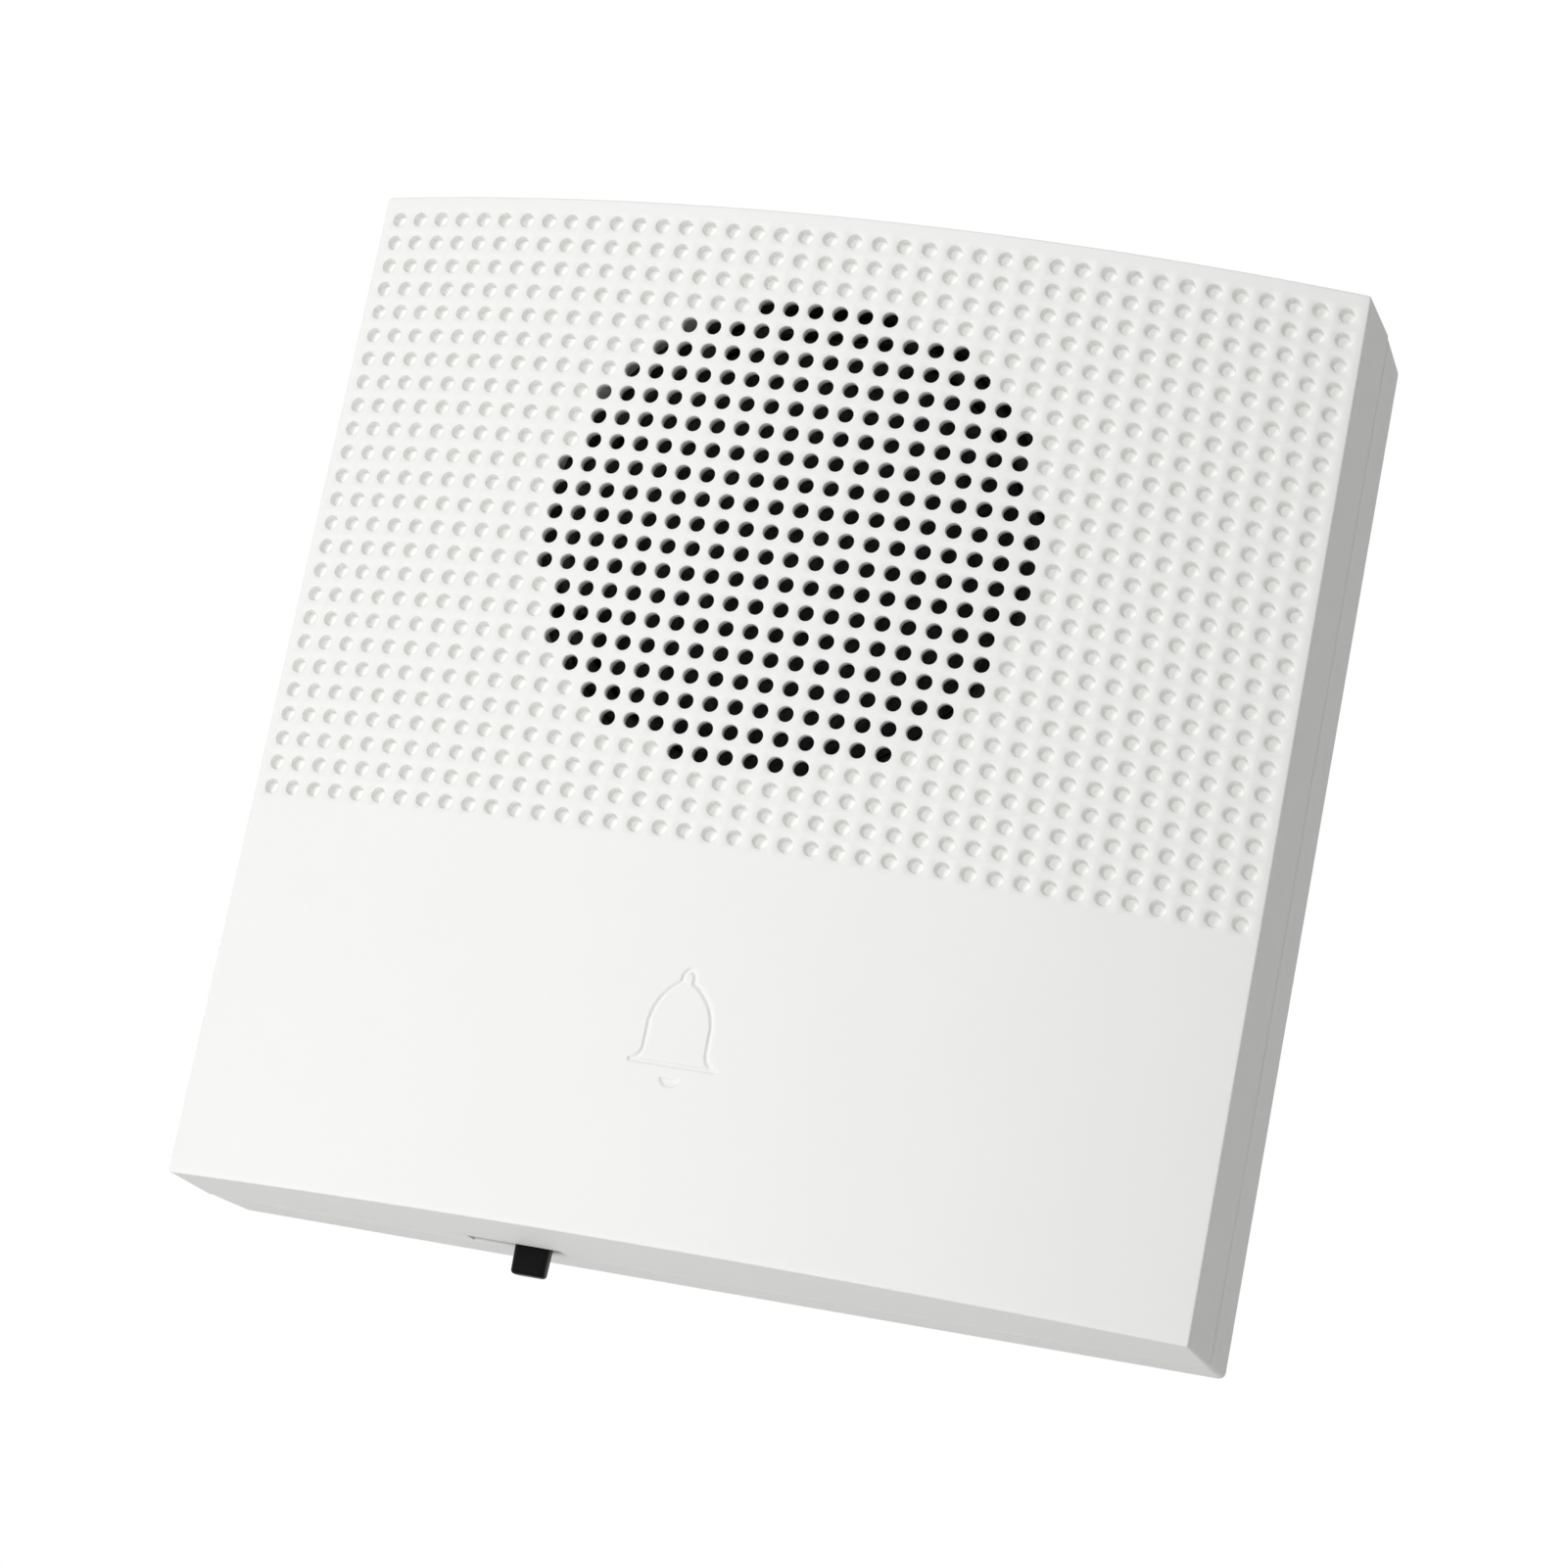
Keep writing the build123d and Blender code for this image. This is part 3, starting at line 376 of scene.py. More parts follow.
def lower_front(skin):
    """The plain part of the front, with the bell's groove in a fine grid."""
    first = front_columns // 2 + bell_columns[0]
    last = front_columns // 2 + bell_columns[1]
    lines = [bell_top_z - k * step for k in range(bell_rows + 1)]
    for column in range(front_columns):
        x0, x1 = column_x(column), column_x(column + 1)
        for z0, z1 in ((lines[0], dots_low), (core_low, lines[-1])):
            skin.face(*[on_front(x, z) for x, z in ((x0, z0), (x1, z0), (x1, z1), (x0, z1))])
        if first <= column < last:
            for row in range(bell_rows):
                bell_cell(skin, x0, x1, lines[row + 1], lines[row])
            continue
        ends = [lines[-1], lines[0]]
        right = [(x1, z) for z in (lines[::-1] if column == first - 1 else ends)]
        left = [(x0, z) for z in (lines if column == last else ends[::-1])]
        skin.face(*[on_front(x, z) for x, z in right + left])


def bell_cell(skin, x0, x1, z0, z1):
    """A cell of the front that is split finely where the groove passes through it."""
    def fine(dx, dz):
        return bell_is_near((x0 + x1) / 2 + dx * step, (z0 + z1) / 2 + dz * step)

    xs = [x0 + (x1 - x0) * k / bell_steps for k in range(bell_steps + 1)]
    zs = [z0 + (z1 - z0) * k / bell_steps for k in range(bell_steps + 1)]
    if fine(0, 0):
        points = [[on_front(x, z, bell_sunk(x, z)) for x in xs] for z in zs]
        for lower, upper in zip(points, points[1:]):
            skin.band(lower, upper, closed=False)
        return
    ring = [(x, z0) for x in xs[:-1]] if fine(0, -1) else [(x0, z0)]
    ring += [(x1, z) for z in zs[:-1]] if fine(1, 0) else [(x1, z0)]
    ring += [(x, z1) for x in xs[:0:-1]] if fine(0, 1) else [(x1, z1)]
    ring += [(x0, z) for z in zs[:0:-1]] if fine(-1, 0) else [(x0, z1)]
    skin.face(*[on_front(x, z) for x, z in ring])


# Walls of the front cover, as loops of points round the box
corner_steps = 5
corner_starts = {(1, -1): -90, (1, 1): 0, (-1, 1): 90, (-1, -1): 180}
straight_x = 30.0 * mm
dot_lines = rows * side_steps
side_lines = [dots_high - k * step for k in range(dot_lines + 1)]
side_lines += [bell_top_z, bell_top_z - bell_rows * step, core_low]


def loop_places():
    """Places round the edge, counter-clockwise from the front: side name, and x or z along it."""
    def corner(sx, sz):
        return [("corner", (sx, sz, k / corner_steps)) for k in range(1, corner_steps)]

    across = [column_x(k) for k in range(front_columns + 1)]
    found = [("bottom", x) for x in across] + corner(1, -1)
    found += [("right", z) for z in reversed(side_lines)] + corner(1, 1)
    found += [("top", x) for x in reversed(across)] + corner(-1, 1)
    return found + [("left", z) for z in side_lines] + corner(-1, -1)


places = loop_places()
edge_steps = 3
seam_steps = 2


def along_edge(along, flat_x):
    """A column's place on the top or bottom edge: as it is in the middle, and drawn in towards the ends."""
    if abs(along) <= straight_x:
        return along
    share = (abs(along) - straight_x) / (dots_side - straight_x)
    return math.copysign(straight_x + share * (flat_x - straight_x), along)


def at_notch(x):
    """The two columns beside the notch move to its edges in the walls."""
    for edge in (notch_left, notch_right):
        if abs(x - edge) <= step / 2:
            return edge
    return x


def outline_place(place, inset, lean, radius):
    """A place on the rounded outline of the box and the direction out of it."""
    side, along = place
    half_x = body_width / 2 - inset - lean
    half_z = body_height / 2 - inset - lean
    flat_x, flat_z = half_x - radius, half_z - radius
    if side == "corner":
        sx, sz, share = along
        angle = math.radians(corner_starts[(sx, sz)] + 90 * share)
        out = (math.cos(angle), math.sin(angle))
        return (sx * flat_x + radius * out[0], sz * flat_z + radius * out[1]), out
    if side == "top":
        return (along_edge(along, flat_x), half_z), (0.0, 1.0)
    if side == "bottom":
        return (at_notch(along_edge(along, flat_x)), -half_z), (0.0, -1.0)
    sx = 1 if side == "right" else -1
    share = (along - core_low) / (dots_high - core_low)
    return (sx * half_x, -flat_z + share * 2 * flat_z), (float(sx), 0.0)


def wall_point(place, depth, inset=0.0, radius=corner_radius, drawn_in=0.0):
    """A point of the leaning wall at a depth."""
    (x, z), out = outline_place(place, inset, lean_rate * (depth - cover_rear), radius)
    return (x - out[0] * drawn_in, -depth, z - out[1] * drawn_in)


def wall_loop(depth, *how, **ways):
    return [wall_point(place, depth, *how, **ways) for place in places]


def front_edge_loop(turn):
    """A loop on the round edge between the walls and the curved front, at a share of its turn."""
    loop = []
    for place in places:
        lean = lean_rate * (side_depth - cover_rear)
        (x, z), out = outline_place(place, 0.0, lean, corner_radius)
        slope = math.asin(max(-1.0, min(1.0, abs(x) / front_radius))) * abs(out[0])
        centre = front_depth(x) + edge_radius * math.tan(slope) - edge_radius / math.cos(slope)
        angle = turn * (math.pi / 2 - slope)
        back_in = edge_radius * (1 - math.cos(angle))
        px, pz = x - out[0] * back_in, z - out[1] * back_in
        depth = front_depth(px) if turn == 1.0 else centre + edge_radius * math.sin(angle)
        loop.append((px, -depth, pz))
    return loop


def core_loop(surface):
    """The edge of the dotted and plain front, matched to the loops of the walls."""
    corners = {(1, -1): (dots_side, core_low), (1, 1): (dots_side, dots_high)}
    corners.update({(-1, 1): (-dots_side, dots_high), (-1, -1): (-dots_side, core_low)})
    loop = []
    for side, along in places:
        if side == "corner":
            loop.append(surface(*corners[along[:2]]))
        elif side in ("bottom", "top"):
            loop.append(surface(along, core_low if side == "bottom" else dots_high))
        else:
            loop.append(surface(dots_side if side == "right" else -dots_side, along))
    return loop


def front_cover_piece():
    skin = Skin()
    dots(skin)
    inside_of_dots(skin)
    lower_front(skin)
    notch_depth = cover_rear + notch_rise
    rounds = [math.pi / 2 * k / seam_steps for k in range(seam_steps + 1)]
    outer = [wall_loop(notch_depth)]
    outer += [
        wall_loop(cover_rear + seam_round * (1 - math.sin(a)), drawn_in=seam_round * (1 - math.cos(a)))
        for a in rounds
    ]
    inner = [wall_loop(cover_rear, side_wall, inner_corner_radius),
             wall_loop(notch_depth, side_wall, inner_corner_radius)]
    edge = [front_edge_loop(k / edge_steps) for k in range(edge_steps, -1, -1)]
    skin.chain([core_loop(on_front)] + edge + outer[:1])
    rear = outer + inner
    in_notch = [
        place[0] == "bottom" and notch_left <= outer[0][k][0] < notch_right - micron
        for k, place in enumerate(places)
    ]
    for first, second in zip(rear, rear[1:]):
        for k in range(len(places)):
            if not in_notch[k]:
                n = (k + 1) % len(places)
                skin.face(first[k], first[n], second[n], second[k])
    for k in range(len(places)):
        if in_notch[k]:
            skin.face(outer[0][k], outer[0][k + 1], inner[1][k + 1], inner[1][k])
        if in_notch[k] != in_notch[k - 1]:
            skin.face(*[loop[k] for loop in rear])
    top = [wall_point(place, inner_wall_depth(place), side_wall, inner_corner_radius) for place in places]
    skin.chain([inner[1], top, core_loop(on_inside)])
    inside_lower(skin)
    landing_rib(skin)
    return skin.made("front_cover_shell")


def inner_wall_depth(place):
    lean = lean_rate * (side_depth - cover_rear)
    (x, _), _ = outline_place(place, side_wall, lean, inner_corner_radius)
    return inner_depth(x)


def inside_lower(skin):
    """The plain inside of the front below the dots."""
    lower = side_lines[dot_lines:]
    for column in range(front_columns):
        x0, x1 = column_x(column), column_x(column + 1)
        left = [(x0, z) for z in lower] if column == 0 else [(x0, lower[0]), (x0, lower[-1])]
        right = [(x1, z) for z in reversed(lower)]
        if column != front_columns - 1:
            right = [(x1, lower[-1]), (x1, lower[0])]
        skin.face(*[on_inside(x, z) for x, z in left + right])


def landing_rib(skin):
    """The round rib that lands in front of the speaker's gasket."""
    inner = ring_points((0.0, grille_z), rib_inner, rib_sides)
    outer = ring_points((0.0, grille_z), rib_outer, rib_sides)
    rear = -gasket_low.y + rib_gap
    loops = [[(x, -rear, z) for x, z in inner], [(x, -rear, z) for x, z in outer]]
    loops += [[(x, -inner_depth(x) - rib_root, z) for x, z in ring] for ring in (outer, inner)]
    skin.chain(loops, ring=True)


cover = front_cover_piece()
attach(cover, "cover")
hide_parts("front_cover")


# Bodies of the parts on the board, between their leads
resistor_length = 6.2 * mm
resistor_step = 2.8 * mm
resistor_count = 3
diode_length = 5.2 * mm
transistor_body = 4.6 * mm
disc_stand = 1.6 * mm

# Thin printed outlines on the board
print_width = 0.22 * mm
print_rise = 0.03 * mm
print_gap = 0.5 * mm
print_sides = 48
rod_print = 2.4 * mm
board_low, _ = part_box("circuit_board")
board_front = -board_low.y


def printed_ring(skin, points, centre):
    """A flat closed line of print on the board's front, given by its outer points."""
    x0, z0 = centre
    inner = []
    for x, z in points:
        share = 1 - print_width / math.hypot(x - x0, z - z0)
        inner.append((x0 + (x - x0) * share, z0 + (z - z0) * share))
    loops = [[(x, -board_front, z) for x, z in ring] for ring in (points, inner)]
    loops += [[(x, -board_front - print_rise, z) for x, z in ring] for ring in (inner, points)]
    skin.chain(loops, ring=True)


def printed_box(skin, left, right, low, high):
    centre = ((left + right) / 2, (low + high) / 2)
    printed_ring(skin, [(left, low), (right, low), (right, high), (left, high)], centre)


def board_print():
    skin = Skin()
    for node in ("terminal_body", "speaker_socket", "switch_frame", "driver_transistor"):
        low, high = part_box(node)
        foot = max(low.z - print_gap, board_low.z + print_gap)
        printed_box(skin, low.x - print_gap, high.x + print_gap, foot, high.z + print_gap)
    for node in ("supply_capacitor", "output_capacitor", "chime_chip"):
        low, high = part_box(node)
        centre = ((low.x + high.x) / 2, (low.z + high.z) / 2)
        radius = (high.x - low.x) / 2 + print_gap
        printed_ring(skin, ring_points(centre, radius, print_sides), centre)
    for low_x, high_x, middle_z in rod_bodies():
        printed_box(skin, low_x, high_x, middle_z - rod_print / 2, middle_z + rod_print / 2)
    piece = skin.made("board_print")
    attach(piece, "base")
    return piece


def rod_bodies():
    low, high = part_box("resistors")
    middle = (low.x + high.x) / 2
    radius = (high.z - low.z - resistor_step * (resistor_count - 1)) / 2
    for number in range(resistor_count):
        z = low.z + radius + number * resistor_step
        yield middle - resistor_length / 2, middle + resistor_length / 2, z
    low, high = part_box("rectifier_diode")
    middle = (low.x + high.x) / 2
    yield middle - diode_length / 2, middle + diode_length / 2, (low.z + high.z) / 2


# Materials
tinned = (0.62, 0.61, 0.58)
blend = 10 * micron


class Paint:
    """One Principled material and the texture nodes behind it, in the object's own metres."""

    def __init__(self, name, colour, rough, metal=0.0, gloss=0.5):
        self.material = bpy.data.materials.new(name)
        self.material.use_nodes = True
        self.tree = self.material.node_tree
        self.shader = self.tree.nodes["Principled BSDF"]
        self.feed(self.shader.inputs["Base Color"], (*colour, 1.0))
        self.feed(self.shader.inputs["Roughness"], rough)
        self.feed(self.shader.inputs["Metallic"], metal)
        self.feed(self.shader.inputs["Specular IOR Level"], gloss)
        self.place = self.add("ShaderNodeTexCoord").outputs["Object"]
        self.material.diffuse_color = (*colour, 1.0)
        self.bumps = None

    def feed(self, socket, value):
        if isinstance(value, bpy.types.NodeSocket):
            self.tree.links.new(value, socket)
        else:
            socket.default_value = value

    def add(self, kind, **inputs):
        """A node with its inputs fed. Words with an underscore before them are settings of the node."""
        node = self.tree.nodes.new(kind)
        for word, value in inputs.items():
            if word.startswith("_"):
                setattr(node, word[1:], value)
        for word, value in inputs.items():
            if not word.startswith("_"):
                self.feed(node.inputs[word.replace("__", " ")], value)
        return node

    def sum(self, operation, *values):
        node = self.add("ShaderNodeMath", _operation=operation)
        for socket, value in zip(node.inputs, values):
            self.feed(socket, value)
        return node.outputs["Value"]

    def axis(self, letter, centre=0.0):
        along = self.add("ShaderNodeSeparateXYZ", Vector=self.place).outputs[letter]
        return self.sum("SUBTRACT", along, centre) if centre else along

    def around(self, x, z):
        """Distance from an axis that runs from front to back."""
        dx, dz = self.axis("X", x), self.axis("Z", z)
        squares = [self.sum("MULTIPLY", way, way) for way in (dx, dz)]
        return self.sum("SQRT", self.sum("ADD", *squares))

    def spread(self, value, low, high, to_low=0.0, to_high=1.0):
        node = self.add("ShaderNodeMapRange", Value=value)
        limits = {"From Min": low, "From Max": high, "To Min": to_low, "To Max": to_high}
        for word, number in limits.items():
            node.inputs[word].default_value = number
        return node.outputs["Result"]

    def noise(self, size, detail=3.0, stretch=(1.0, 1.0, 1.0)):
        place = self.add("ShaderNodeMapping", Vector=self.place, Scale=stretch).outputs["Vector"]
        return self.add("ShaderNodeTexNoise", Vector=place, Scale=1 / size, Detail=detail).outputs["Fac"]

    def waves(self, period, letter, wobble=0.0):
        node = self.add("ShaderNodeTexWave", _bands_direction=letter, Vector=self.place,
                        Scale=math.pi / 10 / period, Distortion=wobble)
        return node.outputs["Fac"]

    def rings(self, period, x, z):
        """Ripples round an axis that runs from front to back."""
        turns = self.sum("MULTIPLY", self.around(x, z), 2 * math.pi / period)
        return self.sum("MULTIPLY_ADD", self.sum("SINE", turns), 0.5, 0.5)

    def mix(self, share, first, second):
        node = self.add("ShaderNodeMix", _data_type="RGBA")
        for number, value in ((0, share), (6, first), (7, second)):
            if isinstance(value, tuple):
                value = (*value, 1.0)
            self.feed(node.inputs[number], value)
        return node.outputs[2]

    def colour(self, value):
        self.feed(self.shader.inputs["Base Color"], value)

    def rough(self, value):
        self.feed(self.shader.inputs["Roughness"], value)

    def metal(self, value):
        self.feed(self.shader.inputs["Metallic"], value)

    def bump(self, height, depth):
        node = self.add("ShaderNodeBump", Height=height, Distance=depth)
        if self.bumps:
            self.feed(node.inputs["Normal"], self.bumps)
        self.bumps = node.outputs["Normal"]
        self.feed(self.shader.inputs["Normal"], self.bumps)


def moulded(name, colour, tint, rough=0.45, grain=0.22 * mm, depth=4 * micron, gloss=0.5):
    """Moulded plastic: a fine etched grain, faint cloudiness and uneven gloss."""
    paint = Paint(name, colour, rough, gloss=gloss)
    paint.colour(paint.mix(paint.noise(9 * mm, 2.0), colour, tint))
    paint.rough(paint.spread(paint.noise(1.3 * mm), 0.3, 0.7, rough - 0.05, rough + 0.05))
    paint.bump(paint.noise(grain, 2.0), depth)
    return paint


def metal(name, colour, tint, rough, brushed=(1.0, 1.0, 1.0), grain=0.35 * mm, depth=3 * micron):
    """Plated or rolled metal: a grain along the brushing and cloudy oxide."""
    paint = Paint(name, colour, rough, metal=1.0)
    paint.colour(paint.mix(paint.spread(paint.noise(1.6 * mm), 0.35, 0.7), colour, tint))
    paint.rough(paint.spread(paint.noise(grain, 3.0, brushed), 0.3, 0.7, rough - 0.08, rough + 0.12))
    paint.bump(paint.noise(grain, 3.0, brushed), depth)
    return paint


def woven(name, colour, tint, thread, rough, depth, gloss=0.3):
    """Cloth of two crossing sets of threads."""
    paint = Paint(name, colour, rough, gloss=gloss)
    across, along = paint.waves(thread, "X", 0.4), paint.waves(thread, "Z", 0.4)
    weave = paint.sum("MAXIMUM", across, along)
    paint.colour(paint.mix(weave, colour, tint))
    paint.rough(paint.spread(paint.noise(0.8 * mm), 0.3, 0.7, rough - 0.08, rough + 0.08))
    paint.bump(weave, depth)
    return paint


def felted(name, colour, tint, fibre, depth, rough=0.85):
    """Pulp paper or card: short fibres lying every way."""
    paint = Paint(name, colour, rough, gloss=0.25)
    upright, level = paint.noise(fibre, 4.0, (1.0, 1.0, 0.25)), paint.noise(fibre, 4.0, (0.25, 1.0, 1.0))
    fibres = paint.sum("MAXIMUM", upright, level)
    paint.colour(paint.mix(paint.spread(fibres, 0.45, 0.75), colour, tint))
    paint.rough(paint.spread(paint.noise(1.0 * mm), 0.3, 0.7, rough - 0.08, rough + 0.05))
    paint.bump(fibres, depth)
    return paint


def board_paint():
    """Green lacquer over copper tracks, and bare laminate on the cut edges."""
    mask, track, laminate = (0.016, 0.105, 0.045), (0.035, 0.17, 0.07), (0.5, 0.43, 0.2)
    paint = Paint("board_green", mask, 0.32)
    flat = paint.add("ShaderNodeCombineXYZ", X=paint.axis("X"), Y=paint.axis("Z")).outputs["Vector"]
    bricks = paint.add(
        "ShaderNodeTexBrick", _offset=0.37, _squash=0.6, Vector=flat, Scale=1.0,
        Mortar__Size=0.34 * mm, Mortar__Smooth=0.1, Brick__Width=9.0 * mm, Row__Height=2.9 * mm,
    )
    tracks = bricks.outputs["Fac"]
    facing = paint.add("ShaderNodeNewGeometry").outputs["Normal"]
    flatness = paint.sum("ABSOLUTE", paint.add("ShaderNodeSeparateXYZ", Vector=facing).outputs["Y"])
    lacquer = paint.mix(tracks, mask, track)
    weave = paint.sum("MAXIMUM", paint.waves(0.5 * mm, "X"), paint.waves(0.5 * mm, "Z"))
    edge = paint.mix(weave, laminate, (0.42, 0.35, 0.15))
    paint.colour(paint.mix(paint.spread(flatness, 0.4, 0.6), edge, lacquer))
    paint.rough(paint.spread(flatness, 0.4, 0.6, 0.8, 0.3))
    paint.bump(tracks, 25 * micron)
    paint.bump(weave, 3 * micron)
    return paint


def with_leads(paint, colour, lead):
    """The colour of a body, and tinned wire where the share is one."""
    paint.colour(paint.mix(lead, colour, tinned))
    paint.metal(lead)
    return lead


def ends_on_leads(paint, colour, along, length):
    off = paint.sum("ABSOLUTE", along)
    return with_leads(paint, colour, paint.spread(off, length / 2 - blend, length / 2))


def foot_on_leads(paint, colour, foot):
    """The body in front of a depth, and its wires behind it."""
    return with_leads(paint, colour, paint.spread(paint.axis("Y"), -foot - blend, -foot))


resistor_bands = (
    (-2.1, (0.26, 0.09, 0.03)),
    (-1.2, (0.02, 0.02, 0.02)),
    (-0.3, (0.55, 0.03, 0.02)),
    (1.7, (0.55, 0.36, 0.08)),
)


def resistor_paint():
    """A tan body with colour bands between tinned leads."""
    tan = (0.60, 0.42, 0.20)
    low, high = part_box("resistors")
    paint = Paint("resistor_tan", tan, 0.35)
    along = paint.axis("X", (low.x + high.x) / 2)
    colour = paint.mix(paint.noise(0.8 * mm), tan, (0.52, 0.35, 0.16))
    for place, shade in resistor_bands:
        off = paint.sum("ABSOLUTE", paint.sum("SUBTRACT", along, place * mm))
        colour = paint.mix(paint.spread(off, 0.24 * mm, 0.28 * mm, 1.0, 0.0), colour, shade)
    ends_on_leads(paint, colour, along, resistor_length)
    paint.rough(paint.spread(paint.noise(0.6 * mm), 0.3, 0.7, 0.3, 0.42))
    paint.bump(paint.noise(0.3 * mm), 6 * micron)
    return paint


diode_band_share = 0.33


def diode_paint():
    """A black body with one pale band between tinned leads."""
    low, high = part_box("rectifier_diode")
    paint = Paint("diode_black", (0.02, 0.02, 0.021), 0.4)
    along = paint.axis("X", (low.x + high.x) / 2)
    body = paint.mix(paint.noise(0.7 * mm), (0.016, 0.016, 0.017), (0.03, 0.03, 0.03))
    band = paint.sum("ABSOLUTE", paint.sum("SUBTRACT", along, diode_band_share * diode_length))
    body = paint.mix(paint.spread(band, 0.36 * mm, 0.4 * mm, 1.0, 0.0), body, (0.55, 0.55, 0.54))
    ends_on_leads(paint, body, along, diode_length)
    paint.rough(paint.spread(paint.noise(0.6 * mm), 0.3, 0.7, 0.34, 0.46))
    paint.bump(paint.noise(0.25 * mm), 6 * micron)
    return paint


def capacitor_paint(node):
    """A printed sleeve shrunk over a can: bare metal top, a pale stripe down one side, rubber below."""
    low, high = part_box(node)
    x, z, radius = (low.x + high.x) / 2, (low.z + high.z) / 2, (high.x - low.x) / 2
    sleeve, stripe, can = (0.012, 0.016, 0.05), (0.42, 0.42, 0.44), (0.62, 0.62, 0.62)
    paint = Paint(node, sleeve, 0.3)
    cloudy = paint.mix(paint.noise(2.0 * mm), sleeve, (0.02, 0.026, 0.07))
    side = paint.spread(paint.axis("X", x + radius * 0.9), -2 * blend, 2 * blend, 1.0, 0.0)
    printed = paint.mix(side, cloudy, stripe)
    front = paint.spread(paint.axis("Y"), low.y + 0.15 * mm, low.y + 0.2 * mm, 1.0, 0.0)
    inside = paint.spread(paint.around(x, z), radius * 0.80, radius * 0.82, 1.0, 0.0)
    top = paint.sum("MULTIPLY", front, inside)
    lead = foot_on_leads(paint, paint.mix(top, printed, can), board_front)
    paint.metal(paint.sum("MAXIMUM", top, lead))
    paint.rough(paint.spread(paint.noise(1.2 * mm), 0.3, 0.7, 0.24, 0.36))
    paint.bump(paint.noise(0.5 * mm), 5 * micron)
    return paint


def transistor_paint():
    low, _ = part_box("driver_transistor")
    paint = Paint("transistor_black", (0.02, 0.02, 0.02), 0.55)
    body = paint.mix(paint.noise(0.5 * mm), (0.014, 0.014, 0.014), (0.034, 0.034, 0.033))
    foot_on_leads(paint, body, -low.y - transistor_body)
    paint.rough(paint.spread(paint.noise(0.4 * mm), 0.3, 0.7, 0.48, 0.62))
    paint.bump(paint.noise(0.16 * mm), 8 * micron)
    return paint


def disc_paint():
    paint = Paint("ceramic_orange", (0.5, 0.2, 0.045), 0.5)
    body = paint.mix(paint.noise(0.9 * mm), (0.5, 0.19, 0.04), (0.42, 0.14, 0.03))
    foot_on_leads(paint, body, board_front + disc_stand)
    paint.rough(paint.spread(paint.noise(0.7 * mm), 0.3, 0.7, 0.42, 0.6))
    paint.bump(paint.noise(0.5 * mm), 30 * micron)
    return paint


def resin_paint():
    """A poured drop of black resin."""
    paint = Paint("resin_black", (0.012, 0.012, 0.013), 0.3)
    paint.colour(paint.mix(paint.noise(1.2 * mm), (0.010, 0.010, 0.011), (0.022, 0.022, 0.022)))
    paint.rough(paint.spread(paint.noise(1.5 * mm), 0.3, 0.7, 0.22, 0.42))
    paint.bump(paint.noise(1.8 * mm), 60 * micron)
    return paint


def cone_paint(name):
    """Pressed pulp, with faint rings from its mould."""
    paint = felted(name, (0.016, 0.016, 0.018), (0.045, 0.045, 0.047), 0.5 * mm, 20 * micron)
    paint.bump(paint.rings(1.1 * mm, 0.0, grille_z), 12 * micron)
    return paint


def cloth_roll_paint():
    """The doped cloth of the cone's edge."""
    dark, worn = (0.012, 0.012, 0.012), (0.03, 0.03, 0.03)
    return woven("surround_cloth", dark, worn, 0.32 * mm, 0.42, 30 * micron, 0.5)


def spider_paint():
    return woven("spider_cloth", (0.46, 0.24, 0.06), (0.62, 0.38, 0.13), 0.45 * mm, 0.7, 50 * micron)


def winding_paint():
    """Enamelled wire, wound side by side."""
    paint = Paint("copper_wire", (0.5, 0.2, 0.07), 0.3, metal=1.0)
    wound = paint.waves(0.16 * mm, "Y")
    paint.colour(paint.mix(wound, (0.22, 0.07, 0.02), (0.62, 0.26, 0.09)))
    paint.rough(paint.spread(paint.noise(0.8 * mm), 0.3, 0.7, 0.25, 0.4))
    paint.bump(wound, 40 * micron)
    return paint


def ferrite_paint():
    paint = Paint("ferrite", (0.035, 0.035, 0.038), 0.55)
    paint.colour(paint.mix(paint.noise(0.6 * mm, 5.0), (0.022, 0.022, 0.025), (0.07, 0.07, 0.072)))
    paint.rough(paint.spread(paint.noise(0.9 * mm), 0.3, 0.7, 0.42, 0.66))
    paint.bump(paint.noise(0.3 * mm, 5.0), 25 * micron)
    return paint


def pressed_paint(name, rings=False):
    """Zinc plated steel, ground in rings or rolled in one direction."""
    paint = metal(name, (0.56, 0.57, 0.59), (0.42, 0.43, 0.46), 0.34, brushed=(1.0, 1.0, 0.3))
    if rings:
        paint.bump(paint.rings(0.22 * mm, 0.0, grille_z), 2 * micron)
    return paint


def printed_paint():
    paint = Paint("print_white", (0.72, 0.72, 0.68), 0.6)
    paint.colour(paint.mix(paint.noise(0.3 * mm), (0.6, 0.6, 0.56), (0.78, 0.78, 0.74)))
    paint.bump(paint.noise(0.12 * mm), 6 * micron)
    return paint


